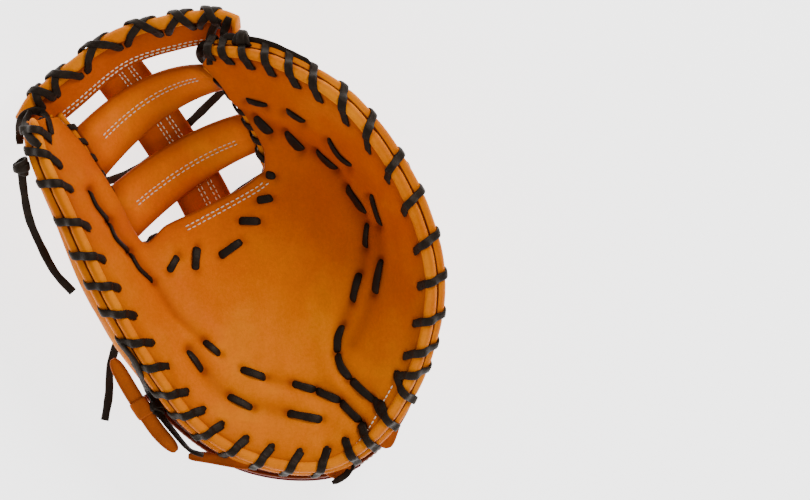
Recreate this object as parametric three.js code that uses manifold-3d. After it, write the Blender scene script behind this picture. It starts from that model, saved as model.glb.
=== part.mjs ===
// First baseman mitt for the left hand, lying on its back with the pocket up.
// +X runs from the thumb side to the little finger side, +Y from the heel to the web,
// +Z out of the pocket. Lengths are in millimetres.
//
// The leather shells are surfaces over a table of ribs. A rib starts at the rim, runs down
// the wall of the pocket to its foot, and ends at the crotch, the edge that holds the web.
// Every other piece is placed on those surfaces.
import * as THREE from "three";
import { mergeVertices } from "three/addons/utils/BufferGeometryUtils.js";
import Module from "manifold-3d";

// Overall form
const HALF_WIDTH = 150;
const HALF_LENGTH = 165;
const RIM_HEIGHT = 130;
const BULGE = 20;
const ELBOW_WEIGHT = 1.7;

// The direction that points up when the mitt lies on its back
const REST_UP = [0.0692, -0.0214, 0.9974];

// Leather
const CLEARANCE = 0.35;
const LOOSE = 0.45;
const WELT_GAP = 1.8;
const PALM_THICKNESS = 5;
const BACK_THICKNESS = 3;
const LINING_THICKNESS = 1.4;
const STRAP_THICKNESS = 3.6;
const STRAP_GAP = 1.8;
const PATCH_THICKNESS = 1.2;
const WEB_THICKNESS = 4;
const BAND_THICKNESS = 5;
const BAND_WIDTH = 32;
const POST_WIDTH = 35;
const FLANGE = 16;
const LIP = 10;
const UNDER_SHARE = 0.5;
const BELLY_HEIGHT = 2.5;
const BACK_DROP = 7;
const WEB_SETBACK = 32;
const SEAT_GAP = 1.2;

// Shares that shape the back: its side between rim and keel, its flange, and its lip by the tips
const SIDE_SHARE = 0.45;
const FLANGE_SHARE = 0.2;
const LIP_SHARE = 0.6;

// Rolled edges
const WELT_RADIUS = 3.8;
const CROTCH_WELT_RADIUS = 3;
const BINDING_RADIUS = 2.8;
const WELT_SIDES = 6;

// Lacing
const LACE_WIDTH = 6;
const LACE_THICKNESS = 1.8;
const HOLE_MARGIN = 0.35;
const HOLE_DEPTH = 12;
const CROTCH_HOLE_DEPTH = 8;
const WEB_HOLE_DEPTH = 10;
const DASH_REACH = 5;
const RIM_LOOPS = 34;
const CROTCH_LOOPS = 18;
const BAND_LOOPS = 6;
const BAND_HOLE_DEPTH = 9;
const KNOT_RADIUS = 5.5;
const KNOT_SHAPE = [1.1, 0.9, 0.8];

// The stretch of each edge that is laced, as shares of its length
const RIM_LACED = { from: 0.03, to: 0.962 };
const CROTCH_LACED = { from: 0.06, to: 0.95 };
const BAND_LACED = { from: 0.22, to: 0.8 };
const HUG_START = -0.3;
const HUG_STEP = 1.15;

// Thumb tongue
const TONGUE_THICKNESS = 2.6;
const KEEPER_THICKNESS = 1.6;

const LEATHER = { color: 0xc9780f, roughness: 0.55, metalness: 0 };
const LACE = { color: 0x2c2621, roughness: 0.6, metalness: 0 };
const LINING = { color: 0x100e0d, roughness: 0.7, metalness: 0 };
const PATCH = { color: 0xb01420, roughness: 0.8, metalness: 0 };

// Ribs from the thumb tip round the heel to the finger tip. Each place is x, y, z as shares
// of the half width, the half length and the rim height; bulge is a share of BULGE.
const RIBS = [
  {
    name: "thumb tip", bulge: 0.25,
    rim: [-0.957, 0.526, 0.769], foot: [-0.9, 0.545, 0.72],
    crotch: [-0.845, 0.55, 0.685], keel: [-0.91, 0.54, 0.64],
  },
  {
    name: "thumb top", bulge: 0.6,
    rim: [-0.91, 0.369, 0.815], foot: [-0.779, 0.403, 0.631],
    crotch: [-0.714, 0.412, 0.569], keel: [-0.813, 0.382, 0.492],
  },
  {
    name: "thumb middle", bulge: 0.8,
    rim: [-0.789, 0.127, 0.831], foot: [-0.621, 0.191, 0.554],
    crotch: [-0.574, 0.208, 0.477], keel: [-0.667, 0.158, 0.369],
  },
  {
    name: "thumb low", bulge: 0.9,
    rim: [-0.639, -0.161, 0.792], foot: [-0.453, -0.072, 0.462],
    crotch: [-0.443, 0.0, 0.385], keel: [-0.533, -0.133, 0.246],
  },
  {
    name: "thumb base", bulge: 0.9,
    rim: [-0.443, -0.471, 0.677], foot: [-0.247, -0.31, 0.4],
    crotch: [-0.327, 0.081, 0.338], keel: [-0.347, -0.4, 0.11],
  },
  {
    name: "heel left", bulge: 0.6,
    rim: [-0.201, -0.759, 0.554], foot: [-0.047, -0.552, 0.385],
    crotch: [-0.21, 0.14, 0.323], keel: [-0.12, -0.679, 0.1],
  },
  {
    name: "heel middle", bulge: 0.6,
    rim: [0.093, -0.916, 0.492], foot: [0.187, -0.658, 0.385],
    crotch: [-0.107, 0.191, 0.315], keel: [0.147, -0.8, 0.085],
  },
  {
    name: "heel right", bulge: 0.5,
    rim: [0.443, -0.938, 0.492], foot: [0.443, -0.658, 0.4],
    crotch: [-0.023, 0.233, 0.315], keel: [0.453, -0.812, 0.09],
  },
  {
    name: "little finger base", bulge: 0.55,
    rim: [0.714, -0.759, 0.585], foot: [0.546, -0.53, 0.4],
    crotch: [0.042, 0.267, 0.323], keel: [0.613, -0.655, 0.11],
  },
  {
    name: "little finger", bulge: 0.7,
    rim: [0.882, -0.454, 0.754], foot: [0.509, -0.318, 0.385],
    crotch: [0.098, 0.301, 0.338], keel: [0.613, -0.376, 0.08],
  },
  {
    name: "ring finger", bulge: 0.75,
    rim: [0.933, -0.127, 0.892], foot: [0.574, -0.03, 0.4],
    crotch: [0.135, 0.344, 0.369], keel: [0.613, -0.048, 0.015],
  },
  {
    name: "middle finger", bulge: 0.8,
    rim: [0.817, 0.233, 0.977], foot: [0.481, 0.293, 0.446],
    crotch: [0.126, 0.437, 0.431], keel: [0.52, 0.279, 0.031],
  },
  {
    name: "index finger", bulge: 0.7,
    rim: [0.546, 0.59, 0.977], foot: [0.21, 0.488, 0.538],
    crotch: [0.037, 0.564, 0.523], keel: [0.253, 0.509, 0.262],
  },
  {
    name: "finger end", bulge: 0.22,
    rim: [0.187, 0.793, 0.892], foot: [-0.014, 0.692, 0.662],
    crotch: [-0.07, 0.7, 0.646], keel: [0.0, 0.703, 0.477],
  },
  {
    name: "finger tip", bulge: 0.1,
    rim: [-0.121, 0.844, 0.77], foot: [-0.13, 0.815, 0.735],
    crotch: [-0.15, 0.78, 0.7], keel: [-0.13, 0.825, 0.65],
  },
];

// Between which ribs the back's edge leaves the palm's edge, and comes back to it
const SETBACK_RIBS = { thumb: [2.9, 5.2], finger: [8.3, 10.3] };

// Folded bars of the web. thumb and finger are the ribs between which each end lies,
// from its lower corner to its upper one; rise and dip bend its middle, as shares of
// the half length and the rim height.
const BARS = [
  { name: "web_bar_upper", thumb: [1.7, 0.72], finger: [12.55, 13.75], rise: 0.07, dip: 0.2 },
  { name: "web_bar_lower", thumb: [2.9, 1.92], finger: [10.45, 11.8], rise: 0.045, dip: 0.16 },
];

// Centre line of the top band, with its slope as a share of BAND_TILT, and of the post
// behind the bars; places are shares like the ribs.
const BAND_TILT = 0.9;
const BAND_LINE = [
  { at: [-0.955, 0.47, 0.572], tilt: 0.55 },
  { at: [-0.9, 0.565, 0.575], tilt: 0.55 },
  { at: [-0.79, 0.655, 0.56], tilt: 0.6 },
  { at: [-0.54, 0.83, 0.55], tilt: 0.75 },
  { at: [-0.273, 0.905, 0.59], tilt: 0.88 },
  { at: [-0.085, 0.925, 0.65], tilt: 0.95 },
  { at: [0.02, 0.895, 0.69], tilt: 1 },
];
const POST_LINE = [
  [-0.6, 0.8, 0.4], [-0.52, 0.7, 0.33], [-0.4, 0.56, 0.25],
  [-0.24, 0.34, 0.14], [-0.14, 0.18, 0.12], [-0.07, 0.03, 0.11],
];

// Where the wrist goes in: the window in the back between two ribs, and the strap across it.
const WINDOW = { from: 4.8, to: 8.2, side: 0.53, top: 0.645, round: 0.6 };
const STRAP = { from: 4.4, to: 8.6, low: 0.315, high: 0.515 };
const LABEL_COLUMNS = [5, 12];
const OVAL = { rib: 3.55, share: 0.41, ribs: 0.27, shares: 0.034 };
const TONGUE = { from: 4.05, to: 5.0, low: 0.275, high: 0.335 };
const KEEPER = { from: 4.48, to: 4.62, low: 0.265, high: 0.345 };
const LINING_COLUMNS = [8, 31];
const LINING_ROWS = [2, 6];

// Routes of the loose laces as shares like the ribs, and which place of each has its knot.
const TIES = [
  {
    name: "web_tie_upper", knot: 3,
    route: [
      [0.06, 0.74, 0.3], [-0.06, 0.66, 0.24], [-0.2, 0.54, 0.173],
      [-0.32, 0.44, 0.131], [-0.44, 0.34, 0.156], [-0.58, 0.28, 0.24],
      [-0.68, 0.26, 0.34],
    ],
  },
  {
    name: "web_tie_lower", knot: 3,
    route: [
      [0.2, 0.34, 0.03], [0.1, 0.28, 0.04], [0.0, 0.22, 0.058],
      [-0.12, 0.14, 0.066], [-0.3, 0.02, 0.04], [-0.44, -0.14, 0.07],
      [-0.52, -0.2, 0.12],
    ],
  },
  {
    name: "thumb_tail", knot: 0,
    route: [
      [-0.993, 0.33, 0.78], [-0.985, 0.24, 0.72], [-0.96, 0.11, 0.64],
      [-0.9, -0.02, 0.57], [-0.84, -0.12, 0.52], [-0.76, -0.2, 0.5],
    ],
  },
  {
    name: "side_tail", knot: 0,
    route: [
      [-0.548, -0.385, 0.25], [-0.575, -0.46, 0.2], [-0.595, -0.54, 0.17],
      [-0.6, -0.64, 0.14], [-0.62, -0.75, 0.12],
    ],
  },
];

// Laces that lie on the back: rib and share of the way from the rim for each place, and the
// gap that keeps the lace clear of the back's facets.
const BACK_TIES = [
  {
    name: "finger_tail", knot: 0, gap: 0.6,
    route: [
      [12.95, 0.36], [12.7, 0.35], [12.3, 0.34],
      [11.8, 0.34],
    ],
  },
  {
    name: "little_finger_tie", knot: 2, gap: 1.05,
    route: [
      [11.2, 0.17], [11.15, 0.24], [11.05, 0.34],
      [10.95, 0.44], [10.8, 0.54],
    ],
  },
];

const RIB_STEPS = RIBS.length - 1;
const WELT_OFFSET = WELT_RADIUS + CLEARANCE / 2;
const SEAT = WELT_RADIUS + SEAT_GAP;
const STATIONS_PER_TURN = 7;
const EDGE_SAMPLES = 40;
const RIM_WELT_STEPS = 50;
const CROTCH_WELT_STEPS = 34;
const WINDOW_STEPS = 20;
const wasm = await Module();
wasm.setup();

function place([x, y, z]) {
  return new THREE.Vector3(x * HALF_WIDTH, y * HALF_LENGTH, z * RIM_HEIGHT);
}

function smoothCurve(points) {
  return new THREE.CatmullRomCurve3(points, false, "catmullrom", 0.5);
}

function lerp(a, b, t) {
  return a + (b - a) * t;
}

function smoothstep(x, low, high) {
  return THREE.MathUtils.smoothstep(x, low, high);
}

const rimCurve = smoothCurve(RIBS.map((rib) => place(rib.rim)));
const footCurve = smoothCurve(RIBS.map((rib) => place(rib.foot)));
const crotchCurve = smoothCurve(RIBS.map((rib) => place(rib.crotch)));
const keelCurve = smoothCurve(RIBS.map((rib) => place(rib.keel)));
const bulgeCurve = smoothCurve(RIBS.map((rib) => new THREE.Vector3(rib.bulge * BULGE, 0, 0)));

// A right-handed frame at an edge: along it, into the leather, and towards the pocket.
function edgeFrame(origin, along, into) {
  const flatInto = into.clone().addScaledVector(along, -into.dot(along)).normalize();
  return { origin, along, into: flatInto, inward: along.clone().cross(flatInto) };
}

function rimFrame(u) {
  const origin = rimCurve.getPoint(u);
  return edgeFrame(origin, rimCurve.getTangent(u), footCurve.getPoint(u).sub(origin));
}

// The same at an edge by the web, where the leather lies on the other side.
function webEdgeFrame(origin, along, towardsWeb) {
  const frame = edgeFrame(origin, along, towardsWeb);
  frame.into.negate();
  return frame;
}

function crotchFrame(u) {
  const origin = crotchCurve.getPoint(u);
  const towardsWeb = origin.clone().sub(footCurve.getPoint(u));
  return webEdgeFrame(origin, crotchCurve.getTangent(u), towardsWeb);
}

function offset(frame, into, inward) {
  return frame.origin.clone().addScaledVector(frame.into, into).addScaledVector(frame.inward, inward);
}

// How far the back's edge is set back from the palm's edge below the web, from 0 to 1.
function setbackShare(u) {
  const rib = u * RIB_STEPS;
  return smoothstep(rib, ...SETBACK_RIBS.thumb) * (1 - smoothstep(rib, ...SETBACK_RIBS.finger));
}

// How far the back runs along the palm before it bends away from it.
function flangeAt(u) {
  const depth = rimCurve.getPoint(u).distanceTo(crotchCurve.getPoint(u));
  return Math.min(FLANGE, SEAT + depth * FLANGE_SHARE);
}

function palmPoint(u, v) {
  const start = offset(rimFrame(u), SEAT, WELT_OFFSET);
  const elbow = footCurve.getPoint(u);
  const end = crotchCurve.getPoint(u);
  const w = [(1 - v) ** 2, 2 * v * (1 - v) * ELBOW_WEIGHT, v ** 2];
  const sum = w[0] + w[1] + w[2];
  start.multiplyScalar(w[0] / sum).addScaledVector(elbow, w[1] / sum);
  return start.addScaledVector(end, w[2] / sum);
}

function backEdge(u) {
  const frame = crotchFrame(u);
  return offset(frame, WEB_SETBACK * setbackShare(u), -BACK_DROP);
}

function backPoint(u, v) {
  const frame = rimFrame(u);
  const foot = footCurve.getPoint(u);
  const crotch = crotchCurve.getPoint(u);
  const keel = keelCurve.getPoint(u);
  const flange = flangeAt(u);
  const outside = new THREE.Vector3(frame.along.y, -frame.along.x, 0).normalize();
  const side = frame.origin.clone().lerp(keel, SIDE_SHARE);
  side.addScaledVector(outside, bulgeCurve.getPoint(u).x);
  const back = setbackShare(u);
  const edge = backEdge(u);
  const [lipDepth, lipDrop] = [lerp(LIP / 5, LIP, back), lerp(LIP / 2, LIP / 10, back)];
  const lip = offset(crotchFrame(u), WEB_SETBACK * back + lipDepth, -BACK_DROP - lipDrop);
  const under = foot.clone().lerp(crotch, UNDER_SHARE);
  under.z = BELLY_HEIGHT;
  under.lerp(keel.clone().lerp(lip, LIP_SHARE), 1 - back);
  const rib = [
    offset(frame, SEAT, -WELT_OFFSET), offset(frame, flange, -WELT_OFFSET - CLEARANCE),
    side, keel, under, lip, edge,
  ];
  return smoothCurve(rib).getPoint(v);
}

// Unit normal of a surface, towards the pocket or the hand.
function surfaceNormal(surface, s, t) {
  const step = 0.004;
  const s0 = Math.max(0, s - step);
  const s1 = Math.min(1, s + step);
  const t0 = Math.max(0, t - step);
  const t1 = Math.min(1, t + step);
  const across = surface(s1, t).sub(surface(s0, t));
  return across.cross(surface(s, t1).sub(surface(s, t0))).normalize();
}

function closedGeometry(positions, triangles) {
  const geometry = new THREE.BufferGeometry();
  geometry.setAttribute("position", new THREE.BufferAttribute(new Float32Array(positions), 3));
  geometry.setIndex(triangles);
  return geometry;
}

// A leather wall: the surface given a thickness, its middle moved by shift along its normal.
// columns and rows list the shares at which it has stations.
function wallGeometry(surface, columns, rows, thickness, shift = 0) {
  const positions = [];
  const triangles = [];
  for (const side of [shift + thickness / 2, shift - thickness / 2]) {
    for (const s of columns) {
      for (const t of rows) {
        const point = surface(s, t).addScaledVector(surfaceNormal(surface, s, t), side);
        positions.push(point.x, point.y, point.z);
      }
    }
  }
  const [lastColumn, lastRow] = [columns.length - 1, rows.length - 1];
  const at = (side, i, j) => (side * columns.length + i) * rows.length + j;
  const quad = (a, b, c, d) => triangles.push(a, b, c, a, c, d);
  for (let i = 0; i < lastColumn; i++) {
    for (let j = 0; j < lastRow; j++) {
      quad(at(0, i, j), at(0, i + 1, j), at(0, i + 1, j + 1), at(0, i, j + 1));
      quad(at(1, i, j), at(1, i, j + 1), at(1, i + 1, j + 1), at(1, i + 1, j));
    }
    quad(at(1, i, 0), at(1, i + 1, 0), at(0, i + 1, 0), at(0, i, 0));
    quad(at(0, i, lastRow), at(0, i + 1, lastRow), at(1, i + 1, lastRow), at(1, i, lastRow));
  }
  for (let j = 0; j < lastRow; j++) {
    quad(at(0, 0, j), at(0, 0, j + 1), at(1, 0, j + 1), at(1, 0, j));
    quad(at(1, lastColumn, j), at(1, lastColumn, j + 1), at(0, lastColumn, j + 1), at(0, lastColumn, j));
  }
  return closedGeometry(positions, triangles);
}

function even(count) {
  return Array.from({ length: count + 1 }, (_, k) => k / count);
}

// Cross-sections of a flat lace through stations of a point and its outer face's normal.
function laceSections(stations) {
  const last = stations.length - 1;
  return stations.map(({ point, normal }, i) => {
    const [before, after] = [stations[Math.max(i - 1, 0)], stations[Math.min(i + 1, last)]];
    const tangent = after.point.clone().sub(before.point).normalize();
    const across = tangent.clone().cross(normal).normalize();
    return { point, across, outer: across.clone().cross(tangent).normalize() };
  });
}

function laceGeometry(sections, margin = 0) {
  const positions = [];
  const triangles = [];
  const [halfWidth, halfThickness] = [LACE_WIDTH / 2 + margin, LACE_THICKNESS / 2 + margin];
  const last = sections.length - 1;
  for (const { point, across, outer } of sections) {
    for (const [a, b] of [[-1, -1], [1, -1], [1, 1], [-1, 1]]) {
      const corner = point.clone().addScaledVector(across, a * halfWidth);
      corner.addScaledVector(outer, b * halfThickness);
      positions.push(corner.x, corner.y, corner.z);
    }
  }
  for (let i = 0; i < last; i++) {
    for (let k = 0; k < 4; k++) {
      const [a, b] = [4 * i + k, 4 * i + ((k + 1) % 4)];
      triangles.push(a, b + 4, b, a, a + 4, b + 4);
    }
  }
  triangles.push(0, 1, 2, 0, 2, 3);
  triangles.push(4 * last, 4 * last + 2, 4 * last + 1, 4 * last, 4 * last + 3, 4 * last + 2);
  return closedGeometry(positions, triangles);
}

function tubeGeometry(points, radius, steps) {
  const section = new THREE.Shape();
  for (let k = 0; k < WELT_SIDES; k++) {
    const angle = (k / WELT_SIDES) * Math.PI * 2;
    section[k ? "lineTo" : "moveTo"](radius * Math.cos(angle), radius * Math.sin(angle));
  }
  const path = new THREE.CatmullRomCurve3(points, false, "centripetal");
  return new THREE.ExtrudeGeometry(section, { steps, extrudePath: path, bevelEnabled: false });
}

function solid(geometry) {
  const bare = new THREE.BufferGeometry();
  bare.setAttribute("position", geometry.getAttribute("position"));
  if (geometry.index) bare.setIndex(geometry.index);
  const merged = mergeVertices(bare, 1e-3);
  const mesh = new wasm.Mesh({
    numProp: 3,
    vertProperties: merged.getAttribute("position").array,
    triVerts: new Uint32Array(merged.index.array),
  });
  return new wasm.Manifold(mesh);
}

function geometryOf(body) {
  const mesh = body.getMesh();
  return closedGeometry(mesh.vertProperties, Array.from(mesh.triVerts));
}

function cut(geometry, cutters) {
  const body = cutters.reduce((left, cutter) => left.subtract(solid(cutter)), solid(geometry));
  return geometryOf(body);
}

// Stations of a lace that winds round an edge: frameAt gives the edge's frame from 0 to 1,
// and profile the points of one turn, as distances into the leather and inward.
function windingStations(frameAt, turns, profile) {
  const stations = [];
  const count = profile(0).length;
  for (let k = 0; k <= turns * count - 1; k++) {
    const share = k / (turns * count);
    const frame = frameAt(share);
    const turn = profile(share);
    const [into, inward] = turn[k % count];
    const middle = turn.reduce((sum, p) => sum + p[0], 0) / count;
    const away = frame.into.clone().multiplyScalar(into - middle);
    away.addScaledVector(frame.inward, inward);
    stations.push({ point: offset(frame, into, inward), normal: away.normalize() });
  }
  return stations;
}

// Points of a lace that hugs a round welt, at angles from the inward side to the outer one.
function hug(centre, radius, angles) {
  const reach = (radius + CLEARANCE + LOOSE / 2 + LACE_THICKNESS / 2) / Math.cos(HUG_STEP / 2);
  return angles.map((angle) => [-reach * Math.sin(angle), centre + reach * Math.cos(angle)]);
}

function rimLaceStations() {
  const skin = CLEARANCE + LACE_THICKNESS / 2 + LOOSE;
  const profile = (share) => {
    const depth = Math.min(HOLE_DEPTH, flangeAt(rimLaceAt(share)) - 1);
    const side = (thickness) => [
      [depth, WELT_OFFSET + thickness / 2 + skin],
      ...hug(WELT_OFFSET, WELT_RADIUS, [HUG_START, HUG_START + HUG_STEP]),
    ];
    const backSide = side(BACK_THICKNESS).map(([into, inward]) => [into, -inward]);
    return [...side(PALM_THICKNESS), [-WELT_RADIUS - skin, 0], ...backSide.reverse()];
  };
  return windingStations((share) => rimFrame(rimLaceAt(share)), RIM_LOOPS, profile);
}

// The lace round the crotch, wound about its welt and through the ends of the bars.
function crotchLaceStations() {
  const skin = CLEARANCE + LACE_THICKNESS / 2 + 2 * LOOSE;
  const top = BACK_DROP + PALM_THICKNESS / 2 + skin;
  const bottom = -CROTCH_WELT_RADIUS - skin;
  const profile = (share) => {
    const back = setbackShare(crotchAt(share));
    const side = onBar(crotchAt(share)) ? WEB_HOLE_DEPTH : CROTCH_WELT_RADIUS + skin;
    const web = -lerp(side, DASH_REACH, back);
    return [
      [CROTCH_HOLE_DEPTH, top], [0, top], [web, lerp(BACK_DROP * 0.6, top, back)], [web, 0],
      [web, bottom * 0.7], [0, bottom], [CROTCH_HOLE_DEPTH, -BACK_THICKNESS / 2 - skin],
    ];
  };
  return windingStations((share) => crotchWeltFrame(crotchAt(share)), CROTCH_LOOPS, profile);
}

function crotchAt(share) {
  return crotchCurve.getUtoTmapping(lerp(CROTCH_LACED.from, CROTCH_LACED.to, share));
}

function rimLaceAt(share) {
  return rimCurve.getUtoTmapping(lerp(RIM_LACED.from, RIM_LACED.to, share));
}

function rimAt(share) {
  return rimFrame(rimCurve.getUtoTmapping(share));
}

// The crotch welt lies against the back's edge, under the palm.
function crotchWeltFrame(u) {
  const step = 0.004;
  const along = backEdge(Math.min(1, u + step)).sub(backEdge(Math.max(0, u - step))).normalize();
  const edge = backEdge(u);
  const frame = webEdgeFrame(edge, along, crotchFrame(u).into.negate());
  frame.origin = offset(frame, -CROTCH_WELT_RADIUS - WELT_GAP, 0);
  return frame;
}

function onBar(u) {
  const rib = u * RIB_STEPS;
  const between = (a, b) => rib > Math.min(a, b) && rib < Math.max(a, b);
  return BARS.some(({ thumb, finger }) => between(...thumb) || between(...finger));
}

// Cutters where a lace passes from one face of the leather to the other, a little longer
// than the lace is there. steps says which of a turn's segments do.
function holeCutters(sections, steps) {
  const cutters = [];
  for (let k = 0; k + 1 < sections.length; k++) {
    if (!steps.includes(k % STATIONS_PER_TURN)) continue;
    const ends = sections.slice(k, k + 2).map((end) => ({ ...end, point: end.point.clone() }));
    const run = ends[1].point.clone().sub(ends[0].point).normalize().multiplyScalar(HOLE_MARGIN);
    ends[0].point.sub(run);
    ends[1].point.add(run);
    cutters.push(laceGeometry(ends, HOLE_MARGIN));
  }
  return cutters;
}

// The web's edges lie beside the crotch welt; w is 0 at a bar's lower edge and 1 at its upper.
function barPoint(bar, s, w) {
  const gap = CROTCH_WELT_RADIUS + 2 * CLEARANCE;
  const ends = [bar.thumb, bar.finger].map(([low, high]) => {
    return offset(crotchWeltFrame(lerp(low, high, w) / RIB_STEPS), -gap, 0);
  });
  const arch = 4 * s * (1 - s);
  const point = ends[0].lerp(ends[1], s);
  point.z -= bar.dip * RIM_HEIGHT * arch;
  point.y += bar.rise * HALF_LENGTH * arch;
  return point;
}

const bandCurve = smoothCurve(BAND_LINE.map((row) => place(row.at)));
const tilts = BAND_LINE.map((row) => new THREE.Vector3(row.tilt * BAND_TILT, 0, 0));
const bandTilt = smoothCurve(tilts);
const postCurve = smoothCurve(POST_LINE.map(place));

function bandPoint(s, w) {
  const along = bandCurve.getTangent(s);
  const tilt = bandTilt.getPoint(s).x;
  const outside = new THREE.Vector3(-along.y, along.x, 0).normalize();
  const across = outside.multiplyScalar(Math.cos(tilt)).setZ(Math.sin(tilt));
  return bandCurve.getPoint(s).addScaledVector(across, (w - 0.5) * BAND_WIDTH);
}

function postPoint(s, w) {
  const along = postCurve.getTangent(s);
  const across = new THREE.Vector3(-along.y, along.x, 0).normalize();
  return postCurve.getPoint(s).addScaledVector(across, (w - 0.5) * POST_WIDTH);
}

function bandLaceStations() {
  const skin = BAND_THICKNESS / 2 + CLEARANCE + LOOSE + LACE_THICKNESS / 2;
  const frameAt = (share) => {
    const s = lerp(BAND_LACED.from, BAND_LACED.to, share);
    const into = bandPoint(s, 0).sub(bandPoint(s, 1));
    return edgeFrame(bandPoint(s, 1), bandCurve.getTangent(s).negate(), into);
  };
  const deep = BAND_HOLE_DEPTH;
  const turn = [[deep, skin], [0, skin], [-skin / 3, 0], [0, -skin], [deep, -skin], [deep, 0]];
  return windingStations(frameAt, BAND_LOOPS, () => turn);
}

function strapPoint(s, t) {
  const u = lerp(STRAP.from, STRAP.to, s) / RIB_STEPS;
  const v = lerp(STRAP.low, STRAP.high, t);
  const out = BACK_THICKNESS / 2 + STRAP_GAP + STRAP_THICKNESS / 2;
  return backPoint(u, v).addScaledVector(surfaceNormal(backPoint, u, v), -out);
}

function windowPath() {
  const points = [];
  for (const share of even(18)) {
    const u = lerp(WINDOW.from, WINDOW.to, share) / RIB_STEPS;
    const v = lerp(WINDOW.side, WINDOW.top, Math.sin(Math.PI * share) ** WINDOW.round);
    const rise = BINDING_RADIUS - BACK_THICKNESS / 2;
    points.push(backPoint(u, v).addScaledVector(surfaceNormal(backPoint, u, v), rise));
  }
  return points;
}

function windowCutter(edge) {
  const outline = new THREE.Shape(edge.map((p) => new THREE.Vector2(p.x, p.y)));
  outline.lineTo(edge[edge.length - 1].x, -2 * HALF_LENGTH);
  outline.lineTo(edge[0].x, -2 * HALF_LENGTH);
  const height = 2 * RIM_HEIGHT;
  const block = new THREE.ExtrudeGeometry(outline, { depth: height, bevelEnabled: false });
  return block.translate(0, 0, -RIM_HEIGHT);
}

function knottedLace(stations, knotPoint) {
  const lace = laceGeometry(laceSections(stations));
  const knot = new THREE.IcosahedronGeometry(KNOT_RADIUS, 1).scale(...KNOT_SHAPE);
  knot.translate(...knotPoint.toArray());
  return geometryOf(solid(lace).add(solid(knot)));
}

function looseLace(tie) {
  const normal = new THREE.Vector3(0, 0, 1);
  const points = smoothCurve(tie.route.map(place)).getPoints(10);
  const stations = points.map((point) => ({ point, normal }));
  return knottedLace(stations, place(tie.route[tie.knot]));
}

function laceOnBack(tie) {
  const places = tie.route.map(([rib, share]) => new THREE.Vector3(rib / RIB_STEPS, share, 0));
  const lifted = (spot, lift) => {
    const normal = surfaceNormal(backPoint, spot.x, spot.y).negate();
    const point = backPoint(spot.x, spot.y).addScaledVector(normal, BACK_THICKNESS / 2 + lift);
    return { point, normal };
  };
  const lift = tie.gap + LACE_THICKNESS / 2;
  const stations = smoothCurve(places).getPoints(10).map((spot) => lifted(spot, lift));
  return knottedLace(stations, lifted(places[tie.knot], KNOT_RADIUS).point);
}

// A square of stations turned into a disc on the back.
function ovalPoint(s, t) {
  const [a, b] = [2 * s - 1, 2 * t - 1];
  const u = OVAL.rib + OVAL.ribs * a * Math.sqrt(1 - b * b / 2);
  return backPoint(u / RIB_STEPS, OVAL.share + OVAL.shares * b * Math.sqrt(1 - a * a / 2));
}

function backArea(area) {
  return (s, t) => {
    return backPoint(lerp(area.from, area.to, s) / RIB_STEPS, lerp(area.low, area.high, t));
  };
}

const mitt = new THREE.Group();

function addPiece(name, geometry, finish) {
  const material = new THREE.MeshStandardMaterial(finish);
  const mesh = new THREE.Mesh(geometry, material);
  mesh.name = name;
  mitt.add(mesh);
}

const shellColumns = even(36).map((share) => lerp(0.01, 0.99, share));
const palmRows = even(7);
const backRows = even(10);

const windowEdge = windowPath();
const rimLace = laceSections(rimLaceStations());
const crotchLace = laceSections(crotchLaceStations());
const bandLace = laceSections(bandLaceStations());
const palmHoles = [...holeCutters(rimLace, [6]), ...holeCutters(crotchLace, [1, 2, 6])];
const backHoles = [...holeCutters(rimLace, [6]), ...holeCutters(crotchLace, [4, 5, 6])];
const webHoles = holeCutters(crotchLace, [1, 2, 3, 4]);

addPiece("palm_shell", cut(
  wallGeometry(palmPoint, shellColumns, palmRows, PALM_THICKNESS),
  palmHoles,
), LEATHER);
const backCutters = [
  windowCutter(windowEdge),
  tubeGeometry(windowEdge, BINDING_RADIUS + CLEARANCE, WINDOW_STEPS),
  ...backHoles,
];
addPiece("back_shell", cut(
  wallGeometry(backPoint, shellColumns, backRows, BACK_THICKNESS),
  backCutters,
), LEATHER);
const rimSamples = even(EDGE_SAMPLES).map(rimAt);
for (const [name, side] of [["palm_welt", 1], ["back_welt", -1]]) {
  const line = rimSamples.map((frame) => offset(frame, 0, side * WELT_OFFSET));
  addPiece(name, tubeGeometry(line, WELT_RADIUS, RIM_WELT_STEPS), LEATHER);
}
addPiece("rim_lace", laceGeometry(rimLace), LACE);

const crotchSamples = even(EDGE_SAMPLES).slice(1, -1).map((share) => {
  return crotchWeltFrame(crotchCurve.getUtoTmapping(share)).origin;
});
addPiece("crotch_welt", tubeGeometry(crotchSamples, CROTCH_WELT_RADIUS, CROTCH_WELT_STEPS), LEATHER);
addPiece("crotch_lace", laceGeometry(crotchLace), LACE);

for (const bar of BARS) {
  const surface = (s, w) => barPoint(bar, s, w);
  addPiece(bar.name, cut(wallGeometry(surface, even(8), even(3), WEB_THICKNESS), webHoles), LEATHER);
}
addPiece("web_post", wallGeometry(postPoint, even(8), even(2), WEB_THICKNESS), LEATHER);
addPiece("web_top_band", cut(
  wallGeometry(bandPoint, even(14), even(2), BAND_THICKNESS),
  [laceGeometry(bandLace, HOLE_MARGIN)],
), LEATHER);
addPiece("band_lace", laceGeometry(bandLace), LACE);

const strapColumns = even(16);
const strapRows = [0, 0.06, 0.35, 0.65, 0.94, 1];
addPiece("wrist_strap", wallGeometry(strapPoint, strapColumns, strapRows, STRAP_THICKNESS), LEATHER);
addPiece("opening_binding", tubeGeometry(windowEdge, BINDING_RADIUS, WINDOW_STEPS), LEATHER);

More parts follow.
